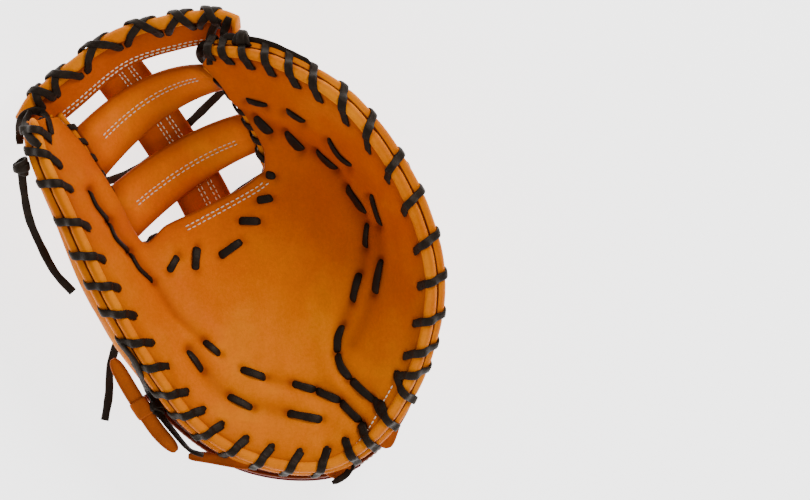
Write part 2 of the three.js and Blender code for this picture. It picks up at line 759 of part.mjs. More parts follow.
// A patch has some of the stations of what it lies on, so that their facets lie side by side.
const labelShift = -(STRAP_THICKNESS / 2 + CLEARANCE + PATCH_THICKNESS / 2);
const labelWall = wallGeometry(
  strapPoint, strapColumns.slice(...LABEL_COLUMNS), strapRows.slice(1, -1),
  PATCH_THICKNESS, labelShift,
);
addPiece("label_patch", labelWall, PATCH);
const liningShift = -(PALM_THICKNESS / 2 + 2 * CLEARANCE + LINING_THICKNESS / 2);
const liningWall = wallGeometry(
  palmPoint, shellColumns.slice(...LINING_COLUMNS), palmRows.slice(...LINING_ROWS),
  LINING_THICKNESS, liningShift,
);
addPiece("hand_lining", liningWall, LINING);

const patchShift = -(BACK_THICKNESS / 2 + STRAP_GAP / 2 + PATCH_THICKNESS / 2);
addPiece("thumb_patch", wallGeometry(ovalPoint, even(6), even(6), PATCH_THICKNESS, patchShift), PATCH);
const overStrap = BACK_THICKNESS / 2 + STRAP_GAP + STRAP_THICKNESS + 2 * LOOSE;
const tongueShift = -(overStrap + TONGUE_THICKNESS / 2);
addPiece("thumb_tongue", wallGeometry(
  backArea(TONGUE), even(14), even(3), TONGUE_THICKNESS, tongueShift,
), LEATHER);
const keeperShift = -(overStrap + TONGUE_THICKNESS + 2 * LOOSE + KEEPER_THICKNESS / 2);
addPiece("tongue_keeper", wallGeometry(
  backArea(KEEPER), even(1), even(4), KEEPER_THICKNESS, keeperShift,
), LEATHER);

for (const tie of TIES) addPiece(tie.name, looseLace(tie), LACE);
for (const tie of BACK_TIES) addPiece(tie.name, laceOnBack(tie), LACE);

// The mitt leans as it does when it lies by itself, over the middle of its base.
mitt.quaternion.setFromUnitVectors(new THREE.Vector3(...REST_UP).normalize(), new THREE.Vector3(0, 0, 1));
mitt.updateMatrixWorld(true);
const bounds = new THREE.Box3();
const bodies = mitt.children.filter((mesh) => !mesh.name.endsWith("_tail"));
for (const mesh of bodies) bounds.expandByObject(mesh, true);
const centre = bounds.getCenter(new THREE.Vector3());
mitt.position.set(-centre.x, -centre.y, -bounds.min.z);

export default mitt;
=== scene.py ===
"""Looks of the first baseman mitt. All lengths below are in millimetres in the mitt's own
frame, in which +Z points out of the pocket; place() turns them into the row frame. Lights
and floor are in metres of the row frame."""
import math
import bpy
import numpy as np
from mathutils import Matrix, Vector
from mathutils.bvhtree import BVHTree


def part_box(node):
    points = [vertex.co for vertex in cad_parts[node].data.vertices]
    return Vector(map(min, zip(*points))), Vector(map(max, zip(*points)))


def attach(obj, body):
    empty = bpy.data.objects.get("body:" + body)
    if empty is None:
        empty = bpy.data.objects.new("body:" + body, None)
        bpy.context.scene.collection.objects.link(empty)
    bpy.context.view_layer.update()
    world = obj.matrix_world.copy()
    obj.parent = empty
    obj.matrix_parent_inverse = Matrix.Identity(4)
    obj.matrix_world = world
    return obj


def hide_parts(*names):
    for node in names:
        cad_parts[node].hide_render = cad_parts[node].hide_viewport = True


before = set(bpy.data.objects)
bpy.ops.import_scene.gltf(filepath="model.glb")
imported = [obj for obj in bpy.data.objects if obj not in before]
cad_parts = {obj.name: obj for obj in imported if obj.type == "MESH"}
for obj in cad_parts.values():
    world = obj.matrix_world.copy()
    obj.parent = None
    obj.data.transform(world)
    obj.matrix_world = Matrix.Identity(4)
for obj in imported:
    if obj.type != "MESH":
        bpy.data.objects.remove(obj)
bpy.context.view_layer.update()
rng = np.random.default_rng(11)

# Sizes shared with the part, in millimetres.
HALF_WIDTH, HALF_LENGTH, RIM_HEIGHT, BULGE = 150.0, 165.0, 130.0, 20.0
ELBOW_WEIGHT = 1.7
REST_UP = np.array([0.0692, -0.0214, 0.9974])  # the way that is up when the mitt lies at rest
CLEARANCE, LOOSE, WELT_GAP = 0.35, 0.45, 1.8
PALM_THICKNESS, BACK_THICKNESS = 5.0, 3.0
STRAP_THICKNESS, STRAP_GAP = 3.6, 1.8
WEB_THICKNESS, BAND_WIDTH, POST_WIDTH = 4.0, 32.0, 35.0
FLANGE, LIP, UNDER_SHARE, BELLY_HEIGHT = 16.0, 10.0, 0.5, 2.5
BACK_DROP, WEB_SETBACK = 7.0, 32.0
WELT_RADIUS, CROTCH_WELT_RADIUS, BINDING_RADIUS = 3.8, 3.0, 2.8
LACE_WIDTH, LACE_THICKNESS = 6.0, 1.8
WELT_OFFSET = WELT_RADIUS + CLEARANCE / 2
SEAT = WELT_RADIUS + 1.2
BAND_TILT = 0.9
# The shells' four curves; each point holds shares of the half width, half length and rim height.
RIM = [(-.957, .526, .769), (-.91, .369, .815), (-.789, .127, .831), (-.639, -.161, .792),
       (-.443, -.471, .677), (-.201, -.759, .554), (.093, -.916, .492), (.443, -.938, .492),
       (.714, -.759, .585), (.882, -.454, .754), (.933, -.127, .892), (.817, .233, .977),
       (.546, .59, .977), (.187, .793, .892), (-.121, .844, .77)]
FOOT = [(-.9, .545, .72), (-.779, .403, .631), (-.621, .191, .554), (-.453, -.072, .462),
        (-.247, -.31, .4), (-.047, -.552, .385), (.187, -.658, .385), (.443, -.658, .4),
        (.546, -.53, .4), (.509, -.318, .385), (.574, -.03, .4), (.481, .293, .446),
        (.21, .488, .538), (-.014, .692, .662), (-.13, .815, .735)]
CROTCH = [(-.845, .55, .685), (-.714, .412, .569), (-.574, .208, .477), (-.443, 0, .385),
          (-.327, .081, .338), (-.21, .14, .323), (-.107, .191, .315), (-.023, .233, .315),
          (.042, .267, .323), (.098, .301, .338), (.135, .344, .369), (.126, .437, .431),
          (.037, .564, .523), (-.07, .7, .646), (-.15, .78, .7)]
KEEL = [(-.91, .54, .64), (-.813, .382, .492), (-.667, .158, .369), (-.533, -.133, .246),
        (-.347, -.4, .11), (-.12, -.679, .1), (.147, -.8, .085), (.453, -.812, .09),
        (.613, -.655, .11), (.613, -.376, .08), (.613, -.048, .015), (.52, .279, .031),
        (.253, .509, .262), (0, .703, .477), (-.13, .825, .65)]
# How far the back bulges at each rib, as shares of BULGE.
BULGES = [.25, .6, .8, .9, .9, .6, .6, .5, .55, .7, .75, .8, .7, .22, .1]
# Bars of the web: their edges' ribs on the thumb and on the fingers, and how far each bar arches
# towards the tips and dips, as shares of the half length and the rim height.
BARS = {"web_bar_upper": ((1.7, .72), (12.55, 13.75), .07, .2),
        "web_bar_lower": ((2.9, 1.92), (10.45, 11.8), .045, .16)}
# The top band's and the post's routes, and how the band leans at each of its points.
BAND = [(-.955, .47, .572), (-.9, .565, .575), (-.79, .655, .56), (-.54, .83, .55),
        (-.273, .905, .59), (-.085, .925, .65), (.02, .895, .69)]
BAND_TILTS = [.55, .55, .6, .75, .88, .95, 1]
POST = [(-.6, .8, .4), (-.52, .7, .33), (-.4, .56, .25), (-.24, .34, .14), (-.14, .18, .12),
        (-.07, .03, .11)]
# Wrist opening and strap: first rib, last rib, and the shares down the back.
WINDOW = (4.8, 8.2, .53, .645)
STRAP = (4.4, 8.6, .315, .515)
# Laces with a knot: the knot's place in the route, and the route.
TIES = {
    "web_tie_upper": (3, [(.06, .74, .3), (-.06, .66, .24), (-.2, .54, .173),
                          (-.32, .44, .131), (-.44, .34, .156), (-.58, .28, .24),
                          (-.68, .26, .34)]),
    "web_tie_lower": (3, [(.2, .34, .03), (.1, .28, .04), (0, .22, .058), (-.12, .14, .066),
                          (-.3, .02, .04), (-.44, -.14, .07), (-.52, -.2, .12)]),
    "thumb_tail": (0, [(-.993, .33, .78), (-.985, .24, .72), (-.96, .11, .64),
                       (-.9, -.02, .57), (-.84, -.12, .52), (-.76, -.2, .5)]),
    "side_tail": (0, [(-.548, -.385, .25), (-.575, -.46, .2), (-.595, -.54, .17),
                      (-.6, -.64, .14), (-.62, -.75, .12)])}
# The same on the back, with the gap below each and the route as ribs and shares.
BACK_TIES = {"finger_tail": (0, .15, [(12.95, .36), (12.7, .35), (12.3, .34), (11.8, .34)]),
             "little_finger_tie": (2, 1.05, [(11.2, .17), (11.15, .24), (11.05, .34),
                                             (10.95, .44), (10.8, .54)])}
# The thumb's patch: rib, share and their half sizes; the tongue: ribs and shares.
OVAL = (3.55, .41, .27, .034)
TONGUE = (4.05, 5.0, .275, .335)


# Small tools
def unit(v):
    return v / np.maximum(np.linalg.norm(v, axis=-1, keepdims=True), 1e-12)


def dot(a, b):
    return (a * b).sum(-1, keepdims=True)


def mix(a, b, t):
    return a + (b - a) * t


def smooth(x, low, high):
    t = np.clip((np.asarray(x, float) - low) / (high - low), 0, 1)
    return t * t * (3 - 2 * t)


def run_along(points):
    """Distance along a line of points, at each of them."""
    return np.r_[0, np.cumsum(np.linalg.norm(np.diff(points, axis=0), axis=1))]


def lookup(at, run, table):
    """Each column of a table, read at places between its rows."""
    return np.stack([np.interp(at, run, column) for column in table.T], 1)


def near(distance, reach):
    """One at a spot or a line, and soon nothing beyond its reach."""
    return np.exp(-(distance / reach) ** 2)


def hermite(a, b, c, d, w):
    """A smooth step from b to c, with a before them and d after."""
    m0, m1 = (c - a) / 2, (d - b) / 2
    return ((2 * w**3 - 3 * w**2 + 1) * b + (w**3 - 2 * w**2 + w) * m0
            + (3 * w**2 - 2 * w**3) * c + (w**3 - w**2) * m1)


def through(rows, t):
    """A smooth curve through each row of points, at the share t of that row."""
    count = rows.shape[1]
    q = np.concatenate([2 * rows[:, :1] - rows[:, 1:2], rows, 2 * rows[:, -1:] - rows[:, -2:-1]], 1)
    x = np.clip(t, 0, 1) * (count - 1)
    i = np.minimum(np.floor(x).astype(int), count - 2)
    r = np.arange(len(rows))
    return hermite(q[r, i], q[r, i + 1], q[r, i + 2], q[r, i + 3], (x - i)[:, None])


class Line:
    """A smooth curve through points."""

    def __init__(self, points):
        p = np.asarray(points, float)
        self.count = len(p)
        self.q = np.vstack([2 * p[:1] - p[1:2], p, 2 * p[-1:] - p[-2:-1]])

    def at(self, u):
        x = np.clip(np.asarray(u, float), 0, 1) * (self.count - 1)
        i = np.minimum(np.floor(x).astype(int), self.count - 2)
        q = self.q
        return hermite(q[i], q[i + 1], q[i + 2], q[i + 3], (x - i)[..., None])

    def tangent(self, u):
        u = np.asarray(u, float)
        return unit(self.at(np.minimum(1, u + 1e-4)) - self.at(np.maximum(0, u - 1e-4)))

    def arc(self, share):
        """The curve's own share at each share of its length."""
        u = np.linspace(0, 1, 1201)
        run = run_along(self.at(u))
        return np.interp(np.asarray(share, float) * run[-1], run, u)


def sized(rows):
    return np.asarray(rows, float) * [HALF_WIDTH, HALF_LENGTH, RIM_HEIGHT]


rim, foot, crotch, keel = Line(sized(RIM)), Line(sized(FOOT)), Line(sized(CROTCH)), Line(sized(KEEL))
bulge = Line([[b * BULGE, 0, 0] for b in BULGES])
band, post = Line(sized(BAND)), Line(sized(POST))
band_tilt = Line([[t * BAND_TILT, 0, 0] for t in BAND_TILTS])
RIBS = len(RIM) - 1


class Edge:
    """Frames along an edge: origin, along it, into the leather, and inward. An edge at the web has
    its leather on the other side."""

    def __init__(self, origin, along, towards, web=False):
        flat = unit(towards - along * dot(towards, along))
        self.origin, self.along = origin, along
        self.inward = np.cross(along, flat)
        self.into = -flat if web else flat

    def off(self, into, inward):
        """Places at distances from the edge, into the leather and inward."""
        into, inward = np.asarray(into, float), np.asarray(inward, float)
        if into.ndim:
            into = into[:, None]
        if inward.ndim:
            inward = inward[:, None]
        return self.origin + self.into * into + self.inward * inward


def rim_edge(u):
    p = rim.at(u)
    return Edge(p, rim.tangent(u), foot.at(u) - p)


def crotch_edge(u):
    p = crotch.at(u)
    return Edge(p, crotch.tangent(u), p - foot.at(u), web=True)


def setback(u):
    """How fully the back's edge stands back from the palm's: only at the foot of the web."""
    rib = np.asarray(u) * RIBS
    return smooth(rib, 2.9, 5.2) * (1 - smooth(rib, 8.3, 10.3))


def flange(u):
    """Depth of the flat border along the rim."""
    return np.minimum(FLANGE, SEAT + np.linalg.norm(rim.at(u) - crotch.at(u), axis=-1) * .2)


def palm(u, v):
    """Middle of the palm, from the rim at 0 to the web's edge at 1."""
    start, elbow, end = rim_edge(u).off(SEAT, WELT_OFFSET), foot.at(u), crotch.at(u)
    v = np.asarray(v, float)[:, None]
    a, b, c = (1 - v) ** 2, 2 * v * (1 - v) * ELBOW_WEIGHT, v**2
    return (start * a + elbow * b + end * c) / (a + b + c)


def back_edge(u):
    """The back's edge at the web, below the palm's and set back from it."""
    return crotch_edge(u).off(WEB_SETBACK * setback(u), -BACK_DROP)


def back(u, v):
    """Middle of the back, from the rim round the stalls to the web's edge."""
    u, v = np.asarray(u, float), np.asarray(v, float)
    e, k = rim_edge(u), keel.at(u)
    outside = unit(np.stack([e.along[:, 1], -e.along[:, 0], 0 * u], -1))
    side = mix(e.origin, k, .45) + outside * bulge.at(u)[:, :1]
    share = setback(u)
    lip = crotch_edge(u).off(WEB_SETBACK * share + mix(2, LIP, share),
                             -BACK_DROP - mix(LIP / 2, 1, share))
    under = mix(foot.at(u), crotch.at(u), UNDER_SHARE)
    under[:, 2] = BELLY_HEIGHT
    under = mix(under, mix(k, lip, .6), (1 - share)[:, None])
    rows = np.stack([e.off(SEAT, -WELT_OFFSET), e.off(flange(u), -WELT_OFFSET - CLEARANCE),
                     side, k, under, lip, back_edge(u)], 1)
    return through(rows, v)


def normals(surface, u, v):
    """Unit normals of a surface, towards the pocket or the hand."""
    s = .004
    du = surface(np.minimum(1, u + s), v) - surface(np.maximum(0, u - s), v)
    dv = surface(u, np.minimum(1, v + s)) - surface(u, np.maximum(0, v - s))
    return unit(np.cross(du, dv))


def welt_edge(u):
    """Frames along the roll round the web's opening."""
    u = np.asarray(u, float)
    along = unit(back_edge(np.minimum(1, u + .004)) - back_edge(np.maximum(0, u - .004)))
    e = Edge(back_edge(u), along, -crotch_edge(u).into, web=True)
    e.origin = e.off(-CROTCH_WELT_RADIUS - WELT_GAP, 0)
    return e


def bar(name):
    """Middle surface of a bar, from the thumb's side to the fingers'."""
    thumb, finger, rise, dip = BARS[name]

    def surface(s, w):
        gap = CROTCH_WELT_RADIUS + 2 * CLEARANCE
        a = welt_edge(mix(thumb[0], thumb[1], w) / RIBS).off(-gap, 0)
        b = welt_edge(mix(finger[0], finger[1], w) / RIBS).off(-gap, 0)
        p = mix(a, b, s[:, None])
        arch = 4 * s * (1 - s)
        p[:, 2] -= dip * RIM_HEIGHT * arch
        p[:, 1] += rise * HALF_LENGTH * arch
        return p
    return surface


def flat_left(along):
    return unit(np.stack([-along[:, 1], along[:, 0], 0 * along[:, 0]], -1))


def band_at(s, w):
    tilt = band_tilt.at(s)[:, :1]
    across = flat_left(band.tangent(s)) * np.cos(tilt) + [0, 0, 1] * np.sin(tilt)
    return band.at(s) + across * ((w - .5) * BAND_WIDTH)[:, None]


def post_at(s, w):
    return post.at(s) + flat_left(post.tangent(s)) * ((w - .5) * POST_WIDTH)[:, None]


def strap_at(s, t):
    u, v = mix(STRAP[0], STRAP[1], s) / RIBS, mix(STRAP[2], STRAP[3], t)
    out = BACK_THICKNESS / 2 + STRAP_GAP + STRAP_THICKNESS / 2
    return back(u, v) - normals(back, u, v) * out


# The row frame
def turn_to_rest():
    """The small turn with which the mitt lies on its back."""
    a = REST_UP / np.linalg.norm(REST_UP)
    q = Vector(a).rotation_difference(Vector((0, 0, 1)))
    return np.array(q.to_matrix())


TURN = turn_to_rest()


def rest_shift():
    """The part's shift, from where its post lies: its corners are the same in both scripts."""
    s, w = [x.ravel() for x in np.meshgrid(np.linspace(0, 1, 9), np.linspace(0, 1, 3))]
    n = normals(post_at, s, w)
    p = np.vstack([post_at(s, w) + n * WEB_THICKNESS / 2, post_at(s, w) - n * WEB_THICKNESS / 2])
    return np.array(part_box("web_post")[0]) * 1000 - (p @ TURN.T).min(0)


SHIFT = rest_shift()


def place(points):
    return (np.asarray(points, float) @ TURN.T + SHIFT) / 1000


# Camera and the photograph: millimetres to a pixel, its size, and where the mitt's origin lies in
# the left view and in the right view. Places read from it count pixels of an enlarged view.
PIXEL = .7
PHOTO_SIZE = (810, 500)
MIDDLE = (235, 245)
BACK_MIDDLE = (175, 245)
ENLARGED = 3.2


def spot(x, y):
    """Place in the mitt's plane of a point of the photograph's left view."""
    return np.array([x / ENLARGED - MIDDLE[0], MIDDLE[1] - y / ENLARGED]) * PIXEL


def spots(line):
    return np.array([spot(*q) for q in line])


def back_spots(line):
    """The same for a line of the right view, which shows the back."""
    x, y = np.array(line).T / ENLARGED
    return np.stack([BACK_MIDDLE[0] - x, BACK_MIDDLE[1] - y], 1) * PIXEL


def make_camera():
    distance, middle_height, wide = 8000.0, 85.0, PHOTO_SIZE[0] * PIXEL
    across, down = PHOTO_SIZE[0] / 2 - MIDDLE[0], PHOTO_SIZE[1] / 2 - MIDDLE[1]
    centre = np.array([across * PIXEL, -down * PIXEL, middle_height])
    cam = bpy.data.objects.new("camera", bpy.data.cameras.new("camera"))
    bpy.context.scene.collection.objects.link(cam)
    x, y, z = TURN @ [1, 0, 0], TURN @ [0, 1, 0], TURN @ [0, 0, 1]
    cam.matrix_world = Matrix.Translation(Vector(place(centre + [0, 0, distance]))) @ Matrix(
        np.stack([x, y, z], 1).tolist()).to_4x4()
    cam.data.sensor_width = 36
    cam.data.lens = 36 * distance / wide
    cam.data.clip_start, cam.data.clip_end = 1, 60
    bpy.context.scene.camera = cam


make_camera()


# Materials
def srgb(r, g, b):
    """A colour from its three values of a picture."""
    return tuple(((c / 255 + .055) / 1.055) ** 2.4 if c > 10 else c / 255 / 12.92
                 for c in (r, g, b)) + (1,)


class Finish:
    """A material and a short way to add nodes to it."""

    def __init__(self, name):
        self.material = bpy.data.materials.new(name)
        self.material.use_nodes = True
        self.tree = self.material.node_tree
        self.tree.nodes.clear()
        self.shader = self.add("BsdfPrincipled")
        out = self.add("OutputMaterial")
        self.tree.links.new(self.shader.outputs[0], out.inputs[0])
        self.where = self.add("TexCoord").outputs["Object"]

    def add(self, kind, inputs=None, **settings):
        node = self.tree.nodes.new("ShaderNode" + kind)
        for key, value in settings.items():
            setattr(node, key, value)
        for key, value in (inputs or {}).items():
            self.put(node.inputs[key], value)
        return node

    def put(self, socket, value):
        if isinstance(value, bpy.types.NodeSocket):
            self.tree.links.new(value, socket)
        else:
            socket.default_value = value

    def noise(self, scale, detail=4, rough=.55, stretch=None):
        where = self.where
        if stretch:
            where = self.add("Mapping", {0: where, "Scale": stretch}).outputs[0]
        return self.add("TexNoise", {"Vector": where, "Scale": scale, "Detail": detail,
                                     "Roughness": rough}).outputs[0]

    def ramp(self, value, low, high, a=0.0, b=1.0):
        """A value that runs from a to b while the given one runs from low to high."""
        return self.add("MapRange", {0: value, 1: low, 2: high, 3: a, 4: b}).outputs[0]

    def blend(self, share, a, b, how="MIX"):
        return self.add("MixRGB", {0: share, 1: a, 2: b}, blend_type=how).outputs[0]

    def maths(self, how, a, b):
        return self.add("Math", {0: a, 1: b}, operation=how).outputs[0]

    def value(self, name):
        return self.add("Attribute", attribute_name=name).outputs["Fac"]


def leather(name, tone, deep, worn):
    """Oiled leather: mottled tone, pores, faint wrinkles and paler worn patches, with painted shade from two
    point values: one darkens it in creases, hollows and along edges (partly real burnish), the other makes
    it redder on the walls that face away from the light.
    """
    f = Finish(name)
    tone, deep, worn = (srgb(*c) for c in (tone, deep, worn))
    clouds = f.ramp(f.noise(11, 5, .6), .3, .72)
    colour = f.blend(clouds, deep, tone)
    pale = f.ramp(f.noise(27, 4, .5), .52, .8, 0, .55)
    colour = f.blend(pale, colour, worn)
    speck = f.ramp(f.noise(420, 5, .7), .35, .7, .9, 1.05)
    colour = f.blend(1.0, colour, speck, "MULTIPLY")
    streak = f.ramp(f.noise(60, 6, .65, (1, .25, .6)), .3, .75, .9, 1.06)
    colour = f.blend(.8, colour, streak, "MULTIPLY")
    # Painted shade, partly real burnish: a dark brown mixed in by a point value.
    shade_and_burnish_dark = f.blend(.75, colour, (.25, .09, .03, 1), "MULTIPLY")
    colour = f.blend(f.value("shade_and_burnish"), colour, shade_and_burnish_dark)
    # Painted shade: a redder, darker tone mixed in by a second point value.
    redder = f.blend(1.0, colour, (.84, .6, .7, 1), "MULTIPLY")
    colour = f.blend(f.value("warm_shade"), colour, redder)
    f.put(f.shader.inputs["Base Color"], colour)
    f.put(f.shader.inputs["Roughness"], f.ramp(f.noise(90, 5, .6), .3, .7, .43, .59))
    f.put(f.shader.inputs["Specular IOR Level"], .1)
    f.put(f.shader.inputs["Specular Tint"], (1.0, .55, .16, 1))
    pores = f.add("TexVoronoi", {"Vector": f.where, "Scale": 900.0}, feature="SMOOTH_F1").outputs[0]
    fine = f.noise(2200, 3, .6)
    wrinkles = f.noise(150, 5, .62, (1, .45, 1))
    height = f.maths("ADD", f.maths("MULTIPLY", pores, .6), f.maths("MULTIPLY", fine, .35))
    bump = f.add("Bump", {"Height": height, "Strength": .28, "Distance": .0004})
    soft = f.add("Bump", {"Height": wrinkles, "Strength": .22, "Distance": .0011,
                          "Normal": bump.outputs[0]})
    f.put(f.shader.inputs["Normal"], soft.outputs[0])
    return f.material


def rawhide(name, tone, edge):
    """Dark oiled lace, a little paler in rubbed patches."""
    f = Finish(name)
    tone, edge = srgb(*tone), srgb(*edge)
    rub = f.ramp(f.noise(160, 5, .7), .5, .78, 0, .8)
    colour = f.blend(rub, tone, edge)
    f.put(f.shader.inputs["Base Color"], colour)
    f.put(f.shader.inputs["Specular IOR Level"], .16)
    f.put(f.shader.inputs["Specular Tint"], (1.0, .78, .6, 1))
    f.put(f.shader.inputs["Roughness"], f.ramp(f.noise(320, 4, .6), .3, .7, .42, .64))
    fibres = f.noise(900, 5, .7, (1, 1, .35))
    height = f.maths("ADD", fibres, f.maths("MULTIPLY", f.noise(170, 4, .6), 1.6))
    f.put(f.shader.inputs["Normal"],
          f.add("Bump", {"Height": height, "Strength": .4, "Distance": .0005}).outputs[0])
    return f.material


def cloth(name, tone, deep, pitch):
    """Woven or felted cloth with its threads in two directions."""
    f = Finish(name)
    tone, deep = srgb(*tone), srgb(*deep)
    wave = [f.add("TexWave", {"Vector": f.where, "Scale": pitch, "Distortion": .4},
                  bands_direction=way).outputs[1] for way in ("X", "Y")]
    weave = f.maths("MULTIPLY", wave[0], wave[1])
    f.put(f.shader.inputs["Base Color"], f.blend(f.ramp(weave, 0, .7), deep, tone))
    f.put(f.shader.inputs["Roughness"], f.ramp(f.noise(200, 3), .3, .7, .8, .9))
    f.put(f.shader.inputs["Normal"],
          f.add("Bump", {"Height": weave, "Strength": .5, "Distance": .0004}).outputs[0])
    return f.material


def thread(name, tone):
    """Twisted sewing thread."""
    f = Finish(name)
    tone = srgb(*tone)
    twist = f.add("TexWave", {"Vector": f.where, "Scale": 900.0, "Distortion": 2.0}).outputs[1]
    f.put(f.shader.inputs["Base Color"],
          f.blend(f.ramp(twist, .1, .9), (tone[0] * .7, tone[1] * .66, tone[2] * .6, 1), tone))
    f.put(f.shader.inputs["Roughness"], f.ramp(f.noise(400), .3, .7, .6, .8))
    f.put(f.shader.inputs["Normal"],
          f.add("Bump", {"Height": twist, "Strength": .4, "Distance": .0002}).outputs[0])
    return f.material


PALM_LEATHER = leather("palm leather", (218, 117, 0), (202, 93, 0), (230, 136, 0))
BACK_LEATHER = leather("back leather", (214, 120, 8), (198, 98, 4), (226, 140, 16))
# Painted light: the rolls' leather is a paler copy of the palm's, standing in for the light that falls on
# the rolls.
LIT_ROLL_LEATHER = leather("lit roll leather", (228, 130, 0), (212, 107, 0), (238, 147, 0))
BAR_LEATHER = leather("bar leather", (220, 112, 6), (200, 86, 4), (232, 134, 12))
BAND_LEATHER = leather("band leather", (186, 82, 14), (168, 64, 10), (200, 98, 22))
STRAP_LEATHER = leather("strap leather", (130, 50, 12), (104, 34, 8), (146, 62, 18))
TAB_LEATHER = leather("tab leather", (190, 94, 26), (164, 72, 18), (206, 114, 36))
LACE = rawhide("lace", (24, 18, 14), (46, 35, 27))
LINING = cloth("lining", (24, 19, 16), (10, 8, 7), 420.0)
PATCH_RED = cloth("patch red", (150, 8, 14), (104, 4, 8), 520.0)
PATCH_CREAM = cloth("patch cream", (226, 214, 186), (190, 172, 140), 520.0)
THREAD = thread("thread", (232, 222, 198))


# Mesh makers
# Points and faces of each piece by its name, for what lies on it.
BUILT = {}
FLOOR_GAP = .1


def sheet(made, mid):
    """Works out the cell areas of a leather or cloth sheet whose middle surface is the grid mid, and keeps
    nothing of them.
    """
    cell = np.cross(mid[1:, 1:] - mid[:-1, :-1], mid[1:, :-1] - mid[:-1, 1:])
    cell = np.linalg.norm(cell, axis=2) / 2


def piece(name, points, faces, material, slot, values=None, node=None):
    """A piece of the mitt from its points and faces, all facing out."""
    name = name.replace(" ", "-")
    BUILT[name] = (points, faces)
    points = place(points)
    points[:, 2] = np.maximum(points[:, 2], FLOOR_GAP / 1000)
    mesh = bpy.data.meshes.new(name)
    mesh.from_pydata(points.tolist(), [], faces)
    mesh.validate()
    mesh.shade_smooth()
    made = bpy.data.objects.new(name, mesh)
    bpy.context.scene.collection.objects.link(made)
    mesh.materials.append(material)
    for key, value in (values or {}).items():
        mesh.attributes.new(key, "FLOAT", "POINT").data.foreach_set(
            "value", np.asarray(value, np.float32))
    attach(made, "root")
    if node:
        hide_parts(*([node] if isinstance(node, str) else node))
    return made


def ring_faces(rows, count, first=0):
    """Faces between closed rings of count points each, closed off at both ends."""
    i, k = np.meshgrid(np.arange(rows - 1), np.arange(count), indexing="ij")
    a = first + i * count + k
    b = first + i * count + (k + 1) % count
    faces = np.stack([a, b, b + count, a + count], -1).reshape(-1, 4).tolist()
    faces.append([first + k for k in range(count)][::-1])
    faces.append([first + (rows - 1) * count + k for k in range(count)])
    return faces


def faces_out(points, faces):
    """The faces, turned round if they face inwards."""
    tris = np.array([f[:3] for f in faces if len(f) == 4])
    more = np.array([[f[0], f[2], f[3]] for f in faces if len(f) == 4])
    tris = np.vstack([tris, more])
    a, b, c = (points[tris[:, k]] for k in range(3))
    inward = (np.cross(a, b) * c).sum() < 0
    return [f[::-1] for f in faces] if inward else faces


def evenly_darkened(rings, amount):
    """The same darkening at every point of the rings."""
    return {"shade_and_burnish": np.full(rings.shape[:2], float(amount)).ravel()}


def loft(name, rings, material, slot, values=None, node=None):
    """A piece from closed rings."""
    rings = np.asarray(rings, float)
    points = rings.reshape(-1, 3)
    faces = faces_out(points, ring_faces(rings.shape[0], rings.shape[1]))
    return piece(name, points, faces, material, slot, values, node)


def shell_rings(mid, normal, half, edge_steps=5, top=None):
    """Rings round a sheet: its upper face, a round edge, its lower face and a round edge.
    Top is added to the upper face alone."""
    nu, nv = mid.shape[:2]
    half = np.broadcast_to(np.asarray(half, float), (nu, nv))[..., None]
    up = mid + normal * half if top is None else mid + normal * (half + top[..., None])
    down = mid - normal * half
    turns = np.linspace(0, math.pi, edge_steps + 2)[1:-1]
    ends = []
    for j, inner in ((nv - 1, nv - 2), (0, 1)):
        out = unit(mid[:, j] - mid[:, inner])
        centre, radius = (up[:, j] + down[:, j]) / 2, (up[:, j] - down[:, j]) / 2
        reach = np.linalg.norm(radius, axis=-1, keepdims=True)
        ends.append([centre + radius * math.cos(a) + out * reach * math.sin(a) for a in turns])
    last = np.stack(ends[0], 1)
    first = np.stack(ends[1], 1)[:, ::-1]
    return np.concatenate([up, last, down[:, ::-1], first], 1)


def squared(angles, kind):
    """Points of a rounded square of half width one; the higher its kind, the sharper its corners."""
    ways = np.stack([np.cos(angles), np.sin(angles)], -1)
    return np.sign(ways) * np.abs(ways) ** (2 / kind)


LACE_SIDES = 12
LACE_SECTION = squared((np.arange(LACE_SIDES) + .5) / LACE_SIDES * 2 * math.pi, 3.2)


def resample(points, extra, step):
    """Points a step apart along the smooth line through them, with the values beside them."""
    points = np.asarray(points, float)
    t = np.linspace(0, 1, (len(points) - 1) * 12 + 1)
    fine, beside = Line(points).at(t), Line(extra).at(t)
    run = run_along(fine)
    goal = np.linspace(0, run[-1], max(3, int(run[-1] / step) + 1))
    return lookup(goal, run, fine), lookup(goal, run, beside), goal


def lace_rings(points, up, width=LACE_WIDTH, thick=LACE_THICKNESS, step=1.4, taper=0.0, wild=.18):
    """Rings of a flat lace along points, with its face towards up; its ends may taper."""
    p, n, run = resample(points, up, step)
    tangent = unit(np.gradient(p, axis=0))
    across = unit(np.cross(tangent, n))
    outer = np.cross(across, tangent)
    shape = LACE_SECTION
    w = np.full(len(p), width / 2)
    if taper:
        ends = np.minimum(run, run[-1] - run)
        w *= mix(1 - taper, 1, smooth(ends, 0, width * .7))
    phase = rng.uniform(0, 6)
    w = w * (1 + .05 * np.sin(run / 5 + phase) + .03 * np.sin(run / 2.1 + 2 * phase))
    roll = wild * np.sin(run / 9 + phase)
    a2 = across * np.cos(roll)[:, None] + outer * np.sin(roll)[:, None]
    o2 = outer * np.cos(roll)[:, None] - across * np.sin(roll)[:, None]
    return (p[:, None] + a2[:, None] * (shape[None, :, :1] * w[:, None, None])
            + o2[:, None] * (shape[None, :, 1:] * thick / 2))


def joined(ring_sets):
    """Points and faces of several lofts put into one mesh."""
    points, faces, first = [], [], 0
    for rings in ring_sets:
        flat = rings.reshape(-1, 3)
        own = faces_out(flat, ring_faces(rings.shape[0], rings.shape[1]))
        faces += [[k + first for k in f] for f in own]
        points.append(flat)
        first += len(flat)
    return np.vstack(points), faces


